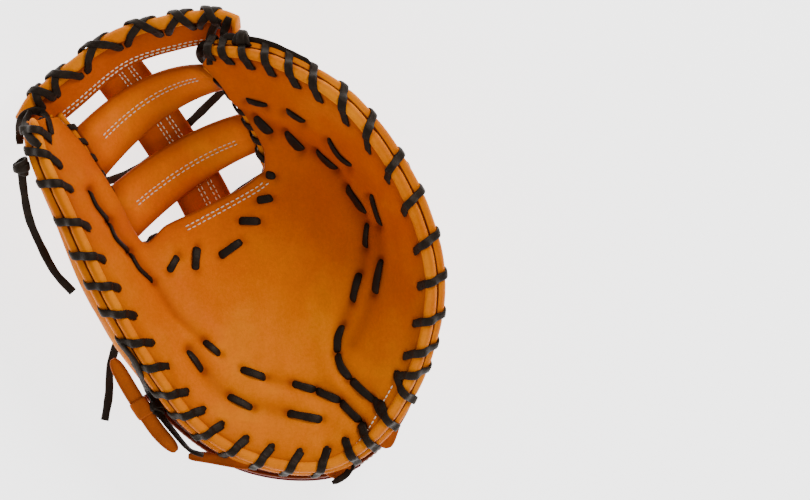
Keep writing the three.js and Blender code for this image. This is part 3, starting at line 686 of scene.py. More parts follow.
def tube_rings(points, radius, sides=14, side=None):
    """Rings round a line of points; the side vectors keep them from twisting."""
    p = np.asarray(points, float)
    tangent = unit(np.gradient(p, axis=0))
    helper = side if side is not None else np.broadcast_to([0.03, .02, 1.0], p.shape)
    x = unit(np.cross(tangent, helper))
    y = np.cross(x, tangent)
    a = np.arange(sides) / sides * 2 * math.pi
    r = np.broadcast_to(np.asarray(radius, float), len(p))[:, None, None]
    return p[:, None] + r * (x[:, None] * np.cos(a)[None, :, None]
                             + y[:, None] * np.sin(a)[None, :, None])


# Half lengths and radii along one stitch, and how many sides it has.
STITCH = [(-.86, .62), (-.4, 1), (.4, 1), (.86, .62)]
STITCH_SIDES = 6


def one_stitch(length, wide, high):
    """Points and faces of one stitch that lies along X, with its ends drawn in."""
    a = np.arange(STITCH_SIDES) / STITCH_SIDES * 2 * math.pi
    points = [(x * length / 2, r * wide / 2 * math.cos(t), r * high * math.sin(t))
              for x, r in STITCH for t in a]
    points += [(-length / 2, 0, -.35), (length / 2, 0, -.35)]
    side = range(STITCH_SIDES)
    n, tail = STITCH_SIDES, len(STITCH) * STITCH_SIDES
    faces = [[i * n + k, (i + 1) * n + k, (i + 1) * n + (k + 1) % n, i * n + (k + 1) % n]
             for i in range(len(STITCH) - 1) for k in side]
    faces += [[tail, k, (k + 1) % n] for k in side]
    faces += [[tail + 1, tail - n + (k + 1) % n, tail - n + k] for k in side]
    return np.array(points), faces


def stitch_mesh(name, rows, slot, length=3.0, wide=.95, high=.6):
    """Rows of stitches as one piece; each row holds their centres, directions and normals."""
    rows = [r for r in rows if len(r[0])]
    centre, way, up = (np.concatenate([r[k] for r in rows]) for k in range(3))
    way = unit(way - up * dot(way, up))
    across = np.cross(up, way)
    local, faces = one_stitch(length, wide, high)
    points = (centre[:, None] + way[:, None] * local[None, :, :1]
              + across[:, None] * local[None, :, 1:2] + up[:, None] * local[None, :, 2:])
    every = [[k + i * len(local) for k in face] for i in range(len(centre)) for face in faces]
    return piece(name, points.reshape(-1, 3), every, THREAD, slot)


def stitched(points, up, pitch=4.0, shift=0.0, lift=.1):
    """Stitches along a line, shifted to its side."""
    p, n, _ = resample(points, up, .8)
    n = unit(n)
    tangent = unit(np.gradient(p, axis=0))
    p = p + np.cross(n, tangent) * shift + n * lift
    run = run_along(p)
    at = np.arange(pitch / 2, run[-1], pitch)
    p, n, tangent = (lookup(at, run, table) for table in (p, n, tangent))
    wobble = rng.normal(0, .06, (len(at), 1))
    return p, unit(tangent + np.cross(n, tangent) * wobble), unit(n)


def double(points, up, apart, lift=.1):
    """Two rows of stitches beside each other."""
    return [stitched(points, up, shift=side * apart / 2, lift=lift) for side in (-1, 1)]


# Distances in the mitt's plane
def near_line(xy, line):
    """Distance of each point to a line of points."""
    best = np.full(len(xy), 1e9)
    for a, b in zip(line[:-1], line[1:]):
        d = b - a
        t = np.clip(((xy - a) @ d) / max(d @ d, 1e-9), 0, 1)
        best = np.minimum(best, np.linalg.norm(xy - a - t[:, None] * d, axis=1))
    return best


class Ground:
    """A surface on which points of the mitt's plane are dropped, from above or, with side -1, below."""

    def __init__(self, grid, side):
        nu, nv = grid.shape[:2]
        i, j = np.meshgrid(np.arange(nu - 1), np.arange(nv - 1), indexing="ij")
        a = (i * nv + j).ravel()
        faces = np.stack([a, a + 1, a + nv + 1, a + nv], 1)
        self.tree = BVHTree.FromPolygons(grid.reshape(-1, 3).tolist(), faces.tolist())
        self.side = side

    def drop(self, xy):
        """Places on the surface and its normals; beside it the nearest place is taken."""
        points, ups = [], []
        for x, y in xy:
            hit = self.tree.ray_cast(Vector((x, y, 400 * self.side)), Vector((0, 0, -self.side)))
            if hit[0] is None:
                hit = self.tree.find_nearest(Vector((x, y, 60)))
            n = hit[1] if hit[1].z * self.side > 0 else -hit[1]
            points.append(hit[0])
            ups.append(n)
        return np.array(points, float), np.array(ups, float)


class Roof(Ground):
    """The ground that several built pieces make together."""

    def __init__(self, names):
        points, faces, first = [], [], 0
        for name in names:
            own, rings = BUILT[name]
            points += own.tolist()
            faces += [[k + first for k in f] for f in rings if len(f) == 4]
            first += len(own)
        self.tree = BVHTree.FromPolygons(points, faces)
        self.side = 1


def drape(ground, line, lift, rounds=8):
    """A line laid over a ground; it bridges the hollows, as a tight lace does."""
    xy = smooth_xy(line, 1.5)
    p, n = ground.drop(xy)
    z = p[:, 2] * ground.side
    for _ in range(rounds):
        z = np.maximum(z, (np.r_[z[:1], z[:-1]] + np.r_[z[1:], z[-1:]]) / 2)
        n = unit((np.vstack([n[:1], n[:-1]]) + 2 * n + np.vstack([n[1:], n[-1:]])))
    wide = np.ones(7) / 7
    z = np.convolve(np.pad(z, 3, mode="edge"), wide, "valid")
    p = np.column_stack([xy, z * ground.side])
    return p + n * lift, n


def smooth_xy(points, step=2.0):
    """Places a step apart along the smooth line through some places of the plane."""
    points = np.asarray(points, float)
    if len(points) < 3:
        n = max(2, int(np.linalg.norm(points[-1] - points[0]) / step) + 1)
        return mix(points[0], points[-1], np.linspace(0, 1, n)[:, None])
    flat = np.c_[points, np.zeros(len(points))]
    return resample(flat, flat, step)[0][:, :2]


def dash(ground, line, width, rise=.75, sink=2.4):
    """A stretch of lace that comes up through the leather, lies on it and goes down again."""
    xy = smooth_xy(line, 1.5)
    p, n = ground.drop(xy)
    n = unit(n + n.mean(0))
    run = run_along(xy)
    ends = np.minimum(run, run[-1] - run)
    high = mix(-sink, rise + .5 * smooth(ends, 2, 9), smooth(ends, -.6, 2.6))
    return lace_rings(p + n * high[:, None], n, width, 2.0, 1.0, taper=.35, wild=.06)


# Places read from the photograph
# Lace loops round the rim: the outer end and the inner end of each.
LOOPS = [((75, 375), (150, 445)), ((95, 465), (185, 532)), ((125, 578), (215, 612)),
         ((178, 700), (278, 732)), ((228, 808), (335, 832)), ((275, 905), (385, 925)),
         ((325, 985), (440, 1010)), ((385, 1075), (495, 1095)), ((440, 1160), (542, 1172)),
         ((500, 1245), (592, 1258)), ((530, 1330), (632, 1330)), ((600, 1415), (692, 1380)),
         ((700, 1460), (782, 1412)), ((800, 1488), (868, 1428)), ((895, 1505), (962, 1440)),
         ((990, 1510), (1052, 1445)), ((1140, 1490), (1112, 1415)), ((1195, 1440), (1150, 1355)),
         ((1250, 1370), (1195, 1275)), ((1310, 1290), (1255, 1195)), ((1380, 1170), (1290, 1215)),
         ((1400, 1090), (1290, 1140)), ((1405, 990), (1310, 1035)), ((1400, 870), (1325, 920)),
         ((1385, 740), (1320, 812)), ((1340, 600), (1285, 690)), ((1280, 480), (1235, 585)),
         ((1160, 370), (1175, 488)), ((1070, 285), (1105, 400)), ((975, 230), (1020, 330)),
         ((900, 190), (945, 290)), ((830, 165), (870, 245)), ((765, 145), (805, 215)),
         ((705, 130), (740, 200)), ((662, 140), (682, 192))]
# Stretches of lace that show on the palm, with their widths.
PALM_LACES = [
    (5.6, [(535, 872), (566, 818)]), (5.8, [(622, 866), (627, 788)]), (5.8, [(698, 822), (772, 770)]),
    (5.8, [(760, 706), (834, 708)]), (5.6, [(818, 641), (872, 632)]), (5.6, [(846, 556), (882, 562)]),
    (5.0, [(785, 318), (858, 337)]), (5.0, [(914, 350), (978, 392)]),
    (5.4, [(1050, 440), (1085, 495), (1127, 532)]), (5.0, [(1188, 620), (1220, 724)]),
    (4.6, [(1177, 712), (1168, 794)]), (6.2, [(1222, 828), (1200, 942)]),
    (5.8, [(1152, 872), (1127, 968)]),
    (8.0, [(815, 370), (868, 428)]), (8.5, [(913, 418), (968, 482)]),
    (8.5, [(1010, 480), (1078, 542)]), (9.0, [(1108, 594), (1172, 684)]),
    (5.4, [(1097, 1040), (1082, 1085), (1080, 1132)]), (5.6, [(1078, 1132), (1095, 1180), (1126, 1216)]),
    (5.6, [(1122, 1214), (1160, 1250), (1202, 1286)]), (5.8, [(1200, 1268), (1220, 1320), (1258, 1352)]),
    (5.6, [(932, 1228), (1012, 1252)]), (5.8, [(1008, 1250), (1092, 1286)]),
    (5.8, [(1088, 1284), (1125, 1322), (1157, 1352)]), (6.0, [(1152, 1356), (1170, 1400), (1198, 1442)]),
    (5.0, [(648, 1092), (703, 1138)]), (5.0, [(596, 1122), (647, 1192)]),
    (5.4, [(766, 1182), (850, 1212)]), (5.4, [(726, 1268), (807, 1310)]),
    (5.8, [(916, 1324), (1032, 1346)]),
    (3.8, [(284, 608), (305, 660), (347, 710)]), (3.8, [(345, 710), (368, 765), (412, 808)]),
    (3.8, [(412, 808), (440, 860), (488, 904)])]
# Valleys of the palm: depth, half width, line.
VALLEYS = [
    (2.2, 6, [(780, 358), (900, 420), (1040, 510), (1110, 600), (1172, 760), (1140, 918), (1091, 1059),
              (1100, 1171), (1200, 1290), (1251, 1350)]),
    (2.0, 6, [(870, 1215), (1010, 1252), (1090, 1286), (1157, 1352), (1198, 1442)]),
    (1.3, 5, [(284, 608), (347, 710), (412, 808), (488, 904), (560, 1010), (650, 1095)]),
    (1.2, 8, [(596, 1122), (726, 1268), (916, 1324)]),
    (1.0, 7, [(1212, 724), (1222, 828), (1195, 960), (1140, 1100)])]
# Swellings of the palm's padding: height, radius, place.
SWELLINGS = [(3.5, 20, (1090, 1190)), (2.5, 22, (1160, 1230)), (2.5, 26, (800, 1250)),
             (2.0, 24, (1010, 1400)), (2.0, 22, (560, 1180)), (1.5, 30, (1210, 560))]
# Stitches across the palm's heel corner.
HEEL_CORNER = [(1055, 1470), (1120, 1440), (1180, 1372), (1225, 1290), (1262, 1225)]
# Seams of the back, in the right view.
BACK_SEAMS = [
    [(310, 350), (250, 430), (230, 560), (270, 690), (340, 810), (430, 900), (540, 980),
     (640, 1020), (740, 1020), (820, 970)],
    [(165, 1000), (150, 740), (165, 690), (200, 665), (240, 690), (262, 740), (380, 990)],
    [(530, 1000), (490, 1040)], [(570, 1160), (630, 1260), (625, 1380)]]
TONGUE_LINE = [(358, 1150), (414, 1250), (458, 1318), (504, 1384), (562, 1446)]
# Leather tabs at the heel: width, how far they hang below the roll, line, and the lace in them.
HEEL_TABS = [
    (8.0, [0, 4, 7, 4, 0], [(1040, 1480), (1060, 1505), (1086, 1511), (1116, 1484)],
     [(1062, 1548), (1082, 1538), (1106, 1522), (1122, 1500), (1132, 1478)]),
    (9.5, [0, 4, 9, 12], [(1262, 1330), (1250, 1372), (1228, 1434)],
     [(1264, 1352), (1254, 1368), (1246, 1384)]),
    (5.4, [6, 5, 4, 4], [(600, 1462), (650, 1465), (720, 1477), (810, 1494)], None)]
# Laces over the tips of thumb and fingers, the knot there, and the lace down the heel.
TIP_LACES = [
    [(60, 462), (58, 410), (76, 368), (112, 352), (148, 376), (164, 432)],
    [(92, 356), (84, 392), (96, 436), (134, 470)],
    [(704, 58), (682, 92), (667, 138)], [(736, 56), (722, 92), (709, 130)],
    [(680, 134), (650, 142), (639, 166), (650, 190), (680, 196)]]
FINGER_KNOT = (780, 112)
HEEL_LACE = [(388, 1096), (430, 1150), (458, 1210), (482, 1268), (508, 1330), (552, 1388),
             (598, 1440), (646, 1464)]


# Palm
def grid_of(surface, us, vs):
    """Points and normals of a surface at every pair of shares."""
    u, v = [x.ravel() for x in np.meshgrid(us, vs, indexing="ij")]
    shape = (len(us), len(vs), 3)
    return surface(u, v).reshape(shape), normals(surface, u, v).reshape(shape)


def ends_in(count, low, high):
    """Shares that lie closer together towards both ends."""
    t = np.linspace(0, 1, count)
    return mix(low, high, mix(t, t * t * (3 - 2 * t), .35))


def loop_shares():
    """Shares of the rim at which each lace loop's outer and inner ends lie."""
    along = np.linspace(0, 1, 2001)
    flat = rim.at(along)[:, :2]
    ends = [[along[np.argmin(((flat - spot(*q)) ** 2).sum(1))] for q in loop] for loop in LOOPS]
    return np.maximum(ends, .006)


def apart_from(points, at):
    return np.linalg.norm(points - at, axis=1)


LOOP_U = loop_shares()
LOOP_DEPTH = 11.0
# Half thickness of the palm's two outermost rows, where it runs under the roll.
PALM_LEAD = (.7, 1.7)


def pressed_palm(mid, us):
    """How far the palm's upper face rises, how much painted shade darkens it, and its distance to the web.
    """
    flat = mid.reshape(-1, 3)
    xy = flat[:, :2]
    # The darkening worked out below is painted shade: in the valleys, round and along the laces on the palm,
    # round the rim lace's holes, and along the rim and the web's edge.
    top, shade_and_burnish = np.zeros(len(xy)), np.zeros(len(xy))
    for depth, wide, line in VALLEYS:
        d = near_line(xy, smooth_xy(spots(line)))
        top -= depth * near(d, wide) - depth * .35 * near(d - 2 * wide, wide)
        shade_and_burnish += .5 * near(d, .7 * wide)
    for height, radius, at in SWELLINGS:
        top += height * near(apart_from(xy, spot(*at)), radius)
    for _, line in PALM_LACES:
        line = spots(line)
        for end in (line[0], line[-1]):
            d = apart_from(xy, end)
            top -= 1.5 * near(d, 3.4)
            shade_and_burnish += .55 * near(d, 2.7)
        shade_and_burnish += .2 * near(near_line(xy, line), 3.6)
    for _, inner in LOOP_U:
        d = apart_from(flat, rim_edge(np.array([inner])).off(LOOP_DEPTH, WELT_OFFSET)[0])
        top -= 1.6 * near(d, 3.6)
        shade_and_burnish += .6 * near(d, 3.2)
    to_rim = np.linalg.norm(mid - mid[:, :1], axis=-1).ravel()
    to_web = np.linalg.norm(mid - mid[:, -1:], axis=-1).ravel()
    top -= .7 * near(to_web - 7.5, 2.2) * np.repeat(setback(us), mid.shape[1])
    shade_and_burnish += .45 * near(to_rim, 9) + .25 * near(to_web, 4)
    x, y = xy.T
    wander = (np.sin(x / 17 + np.sin(y / 23) * 2) * np.sin(y / 19 + 1.3)
              + .5 * np.sin(x / 8.3 + 1.7) * np.sin(y / 9.1 + x / 31))
    top += .35 * wander * smooth(np.minimum(to_rim, to_web), 6, 30)
    return [values.reshape(mid.shape[:2]) for values in (top, shade_and_burnish, to_web)]


def make_palm():
    """The padded palm; its upper face is also the ground for laces and stitches."""
    us, vs = np.linspace(.004, .996, 430), ends_in(84, 0, .992)
    mid, normal = grid_of(palm, us, vs)
    edge = rim_edge(us)
    lead = np.stack([edge.off(1.6, WELT_OFFSET - .4), edge.off(3.2, WELT_OFFSET - .1)], 1)
    mid = np.concatenate([lead, mid], 1)
    normal = np.concatenate([normal[:, :1], normal[:, :1], normal], 1)
    half = np.full(mid.shape[:2], PALM_THICKNESS / 2)
    half[:, :2] = PALM_LEAD
    top, shade_and_burnish, to_web = pressed_palm(mid, us)
    rings = shell_rings(mid, normal, half, 5, top)
    face = np.s_[:, :mid.shape[1]]
    # Painted shade: the palm's edge and underside are darkened where the edge shows between the rolls; its
    # upper face takes the painted shade worked out in pressed_palm.
    shade = np.full(rings.shape[:2], .85)
    shade[face] = shade_and_burnish
    # Painted shade: the finger wall, the upper palm and the part near the web are made redder and darker, as
    # the pocket's walls lie in shade there.
    fingers = .85 * smooth(us * RIBS, 7.6, 11.5)[:, None]
    warm_shade = np.repeat(fingers, rings.shape[1], 1)
    high, by_web = .5 * smooth(mid[..., 1], -85, 40), .45 * near(to_web, 45)
    warm_shade[face] = 1 - (1 - fingers) * (1 - high) * (1 - by_web)
    made = loft("palm", rings, PALM_LEATHER, "palm_leather",
                {"shade_and_burnish": np.clip(shade, 0, 1).ravel(), "warm_shade": warm_shade.ravel()}, "palm_shell")
    return Ground(rings[face], 1)


# Rim
CREASE_OUT, CREASE_RADIUS = 2.0, .95
# How much fuller than the roll's named radius it is, and how much a lace loop pinches it.
ROLL_FULLER, ROLL_PINCH = .35, .55


def make_rolls():
    """The rim's two rolls, pinched by every lace loop and darkened with painted shade where the loops pinch
    and along two opposite sides, and a dark tube in the crease between them as painted shade.
    """
    us = rim.arc(np.linspace(0, 1, 760))
    edge = rim_edge(us)
    # Painted shade: a dark tube laid in the crease between the two rolls.
    crease = tube_rings(edge.off(-CREASE_OUT, 0)[4:-4], CREASE_RADIUS, 8, side=edge.inward[4:-4])
    loft("roll crease shade", crease, STRAP_LEATHER, "strap_leather", evenly_darkened(crease, 1))
    length = run_along(edge.origin)
    tip = 1 - np.exp(-np.minimum(length, length[-1] - length) / 4.0)
    angle = np.arange(16) / 16 * 2 * math.pi
    ridge = near(np.abs(np.cos(angle)) - 1, .22)[None]
    for name, node, side in (("palm roll", "palm_welt", 1), ("back roll", "back_welt", -1)):
        at = np.interp(mix(*LOOP_U.T, .55 if side > 0 else .25), us, length)
        tight = near(length[:, None] - at[None], 3.6).max(1)
        radius = WELT_RADIUS + ROLL_FULLER - ROLL_PINCH * tight + .1 * np.sin(length / 7)
        radius = radius * mix(.45, 1, tip)
        wave = .15 * np.sin(length / 11) + 1.6 * (1 - tip)
        centre = edge.off(wave, side * WELT_OFFSET * mix(.5, 1, tip))
        rings = tube_rings(centre, radius, 16, side=edge.inward)
        # Painted shade where a lace loop pinches the roll and along two opposite sides of it.
        shade = .8 * np.clip(.5 * tight[:, None] + .6 * ridge, 0, 1)
        loft(name, rings, LIT_ROLL_LEATHER, "roll_leather", {"shade_and_burnish": shade.ravel()}, node)


def rim_turn(depth):
    """One turn of the rim lace: distances into the leather and inward, and its share of the slant."""
    r = WELT_RADIUS + .25 + LACE_THICKNESS / 2
    palm_face = WELT_OFFSET + PALM_THICKNESS / 2
    back_face = WELT_OFFSET + BACK_THICKNESS / 2
    rows = [(depth, palm_face - 2.6, 0), (depth - .6, palm_face - .3, 0),
            (depth - 2.4, palm_face + .95, .04)]
    rows += [(-r * math.sin(a), WELT_OFFSET + r * math.cos(a), .3 + .13 * (a + .75))
             for a in (-.75, -.25, .3, .85, 1.35)]
    rows.append((-r + 1.1, 0, .68))
    rows += [(-r * math.sin(a), -WELT_OFFSET - r * math.cos(a), .78 + .2 * (1.35 - a) / 1.65)
             for a in (1.35, .85, .3, -.3)]
    rows += [(depth - 2.4, -back_face - 1.0, 1), (depth, -back_face + .6, 1), (depth + .4, 0, 1.0)]
    return np.array(rows)


def make_rim_lace():
    points, ups = [], []
    for outer, inner in LOOP_U:
        into, inward, slant = rim_turn(min(11.5, float(flange(np.array([inner]))[0]) - 1)).T
        e = rim_edge(np.clip(mix(inner, outer, slant), .002, .998))
        away = e.into * (into - 4)[:, None] + e.inward * inward[:, None]
        away[:3] = e.inward[:3]
        away[-3:-1] = -e.inward[-3:-1]
        away[-1] = e.into[-1]
        points.append(e.off(into, inward))
        ups.append(unit(away))
    rings = lace_rings(np.vstack(points), np.vstack(ups), 6.0, 1.9, 1.3, wild=.05)
    loft("rim lacing", rings, LACE, "lace", node="rim_lace")


def make_palm_laces():
    laces = [dash(palm_ground, spots(line), width) for width, line in PALM_LACES]
    piece("palm lacing", *joined(laces), LACE, "lace")


# Web
POST_LIFT = 9.0
POST_STITCHES = {1: (11, 16), -1: (5, 11, 16)}
ROLL_SIDES = 18
# The band's lace, from one side of the roll to the other: its share of the slant, its angle
# round the roll, and where it lies flat its distance to the roll's middle and to the band's.
BAND_TURN = [(0, -2.65, 9.0, .6), (.1, -2.4, 8.2, 3.1), (.28, -1.6, 0, 0), (.5, -.8, 0, 0),
             (.72, 0, 0, 0), (.88, .8, 0, 0), (1, 1.6, 0, 0), (1, 2.3, 5.5, 3.1), (1, 2.6, 7, .6)]
BAND_CROSSES = 6
EDGE_TURNS = 22


def pillow(surface, us, ws, half, swell, seam=0.0):
    """A folded leather strap: full in the middle, round at its edges, with a seam pressed in."""
    mid, normal = grid_of(surface, us, ws)
    thick = half * (1 + swell * np.sin(np.pi * ws) ** .7)[None] + 0 * us[:, None]
    top = -seam * near(ws - .5, .05)[None] + 0 * thick
    return mid, normal, shell_rings(mid, normal, thick, 5, top), thick


def edge_shade(rows, ws, amount):
    return np.broadcast_to(amount * near(np.minimum(ws, 1 - ws), .16), (rows, len(ws)))


def faced(rings, shade):
    """Painted shade values, partly real burnish, of rings whose upper and lower faces share one shade."""
    rows, count = rings.shape[:2]
    nv = shade.shape[1]
    full = np.full((rows, count), shade.max())
    full[:, :nv] = shade
    gap = (count - 2 * nv) // 2
    full[:, nv + gap:nv + gap + nv] = shade[:, ::-1]
    return {"shade_and_burnish": np.clip(full, 0, 1).ravel()}


def face_stitches(mid, normal, height, part, column, apart, sides=(1, -1)):
    """Double rows of stitches down one column of a strap's grid, on the named faces."""
    rows = []
    for side in sides:
        up = side * normal[part, column]
        rows += double(mid[part, column] + up * height[part, column, None], up, apart)
    return rows


def make_bars():
    us, ws = np.linspace(0, 1, 110), np.linspace(.035, .965, 26)
    shade = edge_shade(len(us), ws, .75) + .5 * near(np.minimum(us, 1 - us), .05)[:, None]
    rows = []
    for name in BARS:
        mid, normal, rings, thick = pillow(bar(name), us, ws, 1.8, .45, .5)
        made = loft(name.replace("_", " "), rings, BAR_LEATHER, "web_leather", faced(rings, shade), name)
        rows += face_stitches(mid, normal, thick - .35, np.s_[11:99], len(ws) // 2, 2.7)
    return rows


def make_post():
    """The strap behind the bars; its top end is raised towards the band."""
    us, ws = np.linspace(0, 1, 90), np.linspace(.03, .97, 22)
    mid, normal, rings, thick = pillow(post_at, us, ws, 1.7, .15)
    lift = np.array([0, 0, POST_LIFT]) * (1 - smooth(us, 0, .2))[:, None, None]
    mid, rings = mid + lift, rings + lift
    shade = edge_shade(len(us), ws, .9)
    made = loft("web post", rings, BAND_LEATHER, "web_leather", faced(rings, shade), "web_post")
    sheet(made, mid)
    return [row for side, columns in POST_STITCHES.items() for column in columns
            for row in face_stitches(mid, normal, thick, np.s_[4:86], column, 2.6, [side])]


def make_band():
    """The top band, narrower at both ends."""
    us, ws = np.linspace(0, 1, 170), np.linspace(.03, .84, 26)
    reach = 1 - .36 * smooth(us, .93, .995) - .36 * (1 - smooth(us, .005, .07))
    uu, ww = np.repeat(us, len(ws)), np.outer(reach, ws).ravel()
    shape = (len(us), len(ws), 3)
    mid, normal = band_at(uu, ww).reshape(shape), normals(band_at, uu, ww).reshape(shape)
    half = np.full(shape[:2], 1.9)
    top = -.45 * near(ws - .115, .04)[None] + 0 * half
    rings = shell_rings(mid, normal, half, 5, top)
    shade = np.broadcast_to(.6 * near(ws - .03, .08) + .7 * smooth(ws, .6, .84), half.shape)
    made = loft("web top band", rings, BAND_LEATHER, "web_leather", faced(rings, shade), "web_top_band")
    sheet(made, mid)
    return face_stitches(mid, normal, half - .15, np.s_[6:164], 3, 2.8)


def make_band_roll():
    """The band's rolled edge, and its track: shares, middle, and the ways across and out."""
    s = np.linspace(.012, .988, 260)
    edge = .86 - .3 * smooth(s, .93, .99) - .3 * (1 - smooth(s, .01, .07))
    centre, out = band_at(s, edge), normals(band_at, s, edge)
    across = unit(centre - band_at(s, edge - .1))
    radius = (4.6 + .25 * np.sin(s * 40)) * mix(.75, 1, smooth(np.minimum(s, 1 - s), 0, .03))
    a = np.arange(ROLL_SIDES) / ROLL_SIDES * 2 * math.pi
    rings = (centre[:, None] + radius[:, None, None]
             * (across[:, None] * np.cos(a)[None, :, None] * 1.05 + out[:, None] * np.sin(a)[None, :, None]))
    loft("web band roll", rings, LIT_ROLL_LEATHER, "roll_leather", evenly_darkened(rings, .25))
    return s, centre, across, -out


def make_band_lace(share, centre, across, out):
    """Lace whipped over the rolled edge in crosses; the second strand lies on the first."""
    t, angle, reach, seat = np.array(BAND_TURN).T[..., None]
    face = np.where(angle < 0, -1.0, 1.0)
    first, last = .17, .86
    pitch = (last - first) / BAND_CROSSES
    sets = []
    for k in range(BAND_CROSSES):
        for lead, lag, lift in ((.02, .78, 0), (.98, .2, 1.2)):
            s = (first + (k + mix(lead, lag, t)) * pitch).ravel()
            c, x, n = (lookup(s, share, table) for table in (centre, across, out))
            x, n = unit(x), unit(n)
            way = x * np.cos(angle) + n * np.sin(angle)
            p = c + way * (4.8 + 1.1 + lift * near(angle, 1.2))
            p = np.where(reach > 0, c - x * reach + n * face * seat, p)
            up = np.where(reach > 0, n * face, way)
            sets.append(lace_rings(p, up, 5.8, 1.9, 1.2, taper=.2, wild=.05))
    piece("band lacing", *joined(sets), LACE, "lace", node="band_lace")


def make_web_edge():
    """The roll round the web's opening and the lace that winds round it."""
    e = welt_edge(crotch.arc(np.linspace(.02, .98, 360)))
    rings = tube_rings(e.origin, CROTCH_WELT_RADIUS, 14, side=e.inward)
    loft("web edge roll", rings, LIT_ROLL_LEATHER, "roll_leather", evenly_darkened(rings, .3), "crotch_welt")
    step = np.linspace(0, EDGE_TURNS, EDGE_TURNS * 14 + 1)
    part = np.interp(step % 1, [0, .3, .5, .66, 1], [-30, 40, 95, 150, 330])
    a = np.radians(np.floor(step) * 360 + part)
    e = welt_edge(crotch.arc(mix(.05, .955, step / EDGE_TURNS)))
    skin = CROTCH_WELT_RADIUS + CLEARANCE + LACE_THICKNESS / 2 + .2
    points = e.off(-np.sin(a) * skin, np.cos(a) * skin)
    ups = e.inward * np.cos(a)[:, None] - e.into * np.sin(a)[:, None]
    loft("web edge lacing", lace_rings(points, ups, 4.8, 1.8, 1.3, wild=.04), LACE, "lace",
         node="crotch_lace")


def palm_stitches():
    """Stitches along the palm's edge at the web and across its heel corner."""
    us = np.linspace(4.55 / RIBS, 9.2 / RIBS, 80)
    edge_line, edge_up = palm_ground.drop(crotch_edge(us).off(8.6, 0)[:, :2])
    corner_line, corner_up = palm_ground.drop(smooth_xy(spots(HEEL_CORNER)))
    return double(edge_line, edge_up, 2.8, lift=.15) + [stitched(corner_line, corner_up, lift=.15)]


def make_web():
    rows = make_bars() + make_post() + make_band()
    make_band_lace(*make_band_roll())
    make_web_edge()
    stitch_mesh("web and palm stitches", rows + palm_stitches(), "web_leather")


# Back
WINDOW_ROW = 48


def window_limit(u):
    """Share down the back at which the wrist opening's edge lies."""
    share = np.clip((u * RIBS - WINDOW[0]) / (WINDOW[1] - WINDOW[0]), 0, 1)
    return mix(WINDOW[2], WINDOW[3], np.sin(np.pi * share) ** .6)


def masked_shell(outer, inner, keep):
    """Points and faces of the kept cells of a wall, closed along every edge."""
    nu, nv = outer.shape[:2]
    faces = []

    def index(side, i, j):
        return side * nu * nv + i * nv + j

    def kept(i, j):
        return 0 <= i < nu - 1 and 0 <= j < nv - 1 and keep[i, j]

    for i, j in zip(*np.nonzero(keep)):
        ring = [(i, j), (i + 1, j), (i + 1, j + 1), (i, j + 1)]
        faces.append([index(0, *q) for q in ring][::-1])
        faces.append([index(1, *q) for q in ring])
        beside = [(i, j - 1), (i + 1, j), (i, j + 1), (i - 1, j)]
        for k, cell in enumerate(beside):
            if not kept(*cell):
                a, b = ring[k], ring[(k + 1) % 4]
                faces.append([index(0, *a), index(0, *b), index(1, *b), index(1, *a)])
    points = np.vstack([outer.reshape(-1, 3), inner.reshape(-1, 3)])
    used, faces = np.unique(np.array(faces), return_inverse=True)
    return points[used], faces.reshape(-1, 4).tolist(), used


def back_grid():
    """Middle surface and normals of the back, with a row along the wrist opening's edge."""
    us = np.unique(np.concatenate([np.linspace(.004, .996, 330), np.array(WINDOW[:2]) / RIBS]))
    t = np.r_[np.linspace(0, 1, WINDOW_ROW, endpoint=False), np.linspace(1, 2, 48)]
    limit = window_limit(us)[:, None]
    v = np.where(t[None] <= 1, t[None] * limit, limit + (t[None] - 1) * (1 - limit))
    u = np.broadcast_to(us[:, None], v.shape)
    mid = back(u.ravel(), v.ravel()).reshape(*v.shape, 3)
    normal = normals(back, u.ravel(), v.ravel()).reshape(mid.shape)
    lead = rim_edge(us).off(1.8, -WELT_OFFSET + .3)[:, None]
    return us, np.concatenate([lead, mid], 1), np.concatenate([normal[:, :1], normal], 1)


def make_back():
    us, mid, normal = back_grid()
    seams = [smooth_xy(back_spots(line)) for line in BACK_SEAMS]
    xy = mid[..., :2].reshape(-1, 2)
    half = np.full(mid.shape[:2], BACK_THICKNESS / 2)
    half[:, 0] = .7
    outer = mid - normal * half[..., None]
    low = outer.reshape(-1, 3)[:, 2] < 70
    sink = sum(.9 * near(near_line(xy, seam), 2.6) * low for seam in seams)
    wander = np.sin(xy[:, 0] / 15 + np.sin(xy[:, 1] / 21) * 2) * np.sin(xy[:, 1] / 18 + 1.3)
    outer = outer + normal * (sink + .3 * wander * low).reshape(mid.shape[:2])[..., None]
    inner = mid + normal * half[..., None]
    keep = np.ones((mid.shape[0] - 1, mid.shape[1] - 1), bool)
    in_window = (us[:-1] * RIBS > WINDOW[0] - 1e-6) & (us[1:] * RIBS < WINDOW[1] + 1e-6)
    keep[np.ix_(in_window, np.arange(keep.shape[1]) <= WINDOW_ROW)] = False
    points, faces, used = masked_shell(outer, inner, keep)
    # Painted shade: darker in the hollows along the seams low on the back and along the rim.
    shade = .5 * sink.reshape(mid.shape[:2]) + .35 * near(np.arange(mid.shape[1]), 5.0)[None]
    shade = np.clip(np.r_[shade.ravel(), 0 * shade.ravel()][used], 0, 1)
    made = piece("back", points, faces_out(points, faces), BACK_LEATHER, "back_leather",
                 {"shade_and_burnish": shade}, "back_shell")
    sheet(made, mid)
    ground = Ground(outer, -1)
    rows = [row for line in BACK_SEAMS
            for row in double(*ground.drop(smooth_xy(back_spots(line), 4)), 2.8, lift=.2)]
    stitch_mesh("back stitches", rows, "back_leather")


# Wrist
STRAP_STITCHES = (5, 28)
# The label on the strap: shares along it and across it.
LABEL = (.3125, .6875, .12, .88)
LABEL_THICKNESS, LABEL_GAP = 1.1, .2
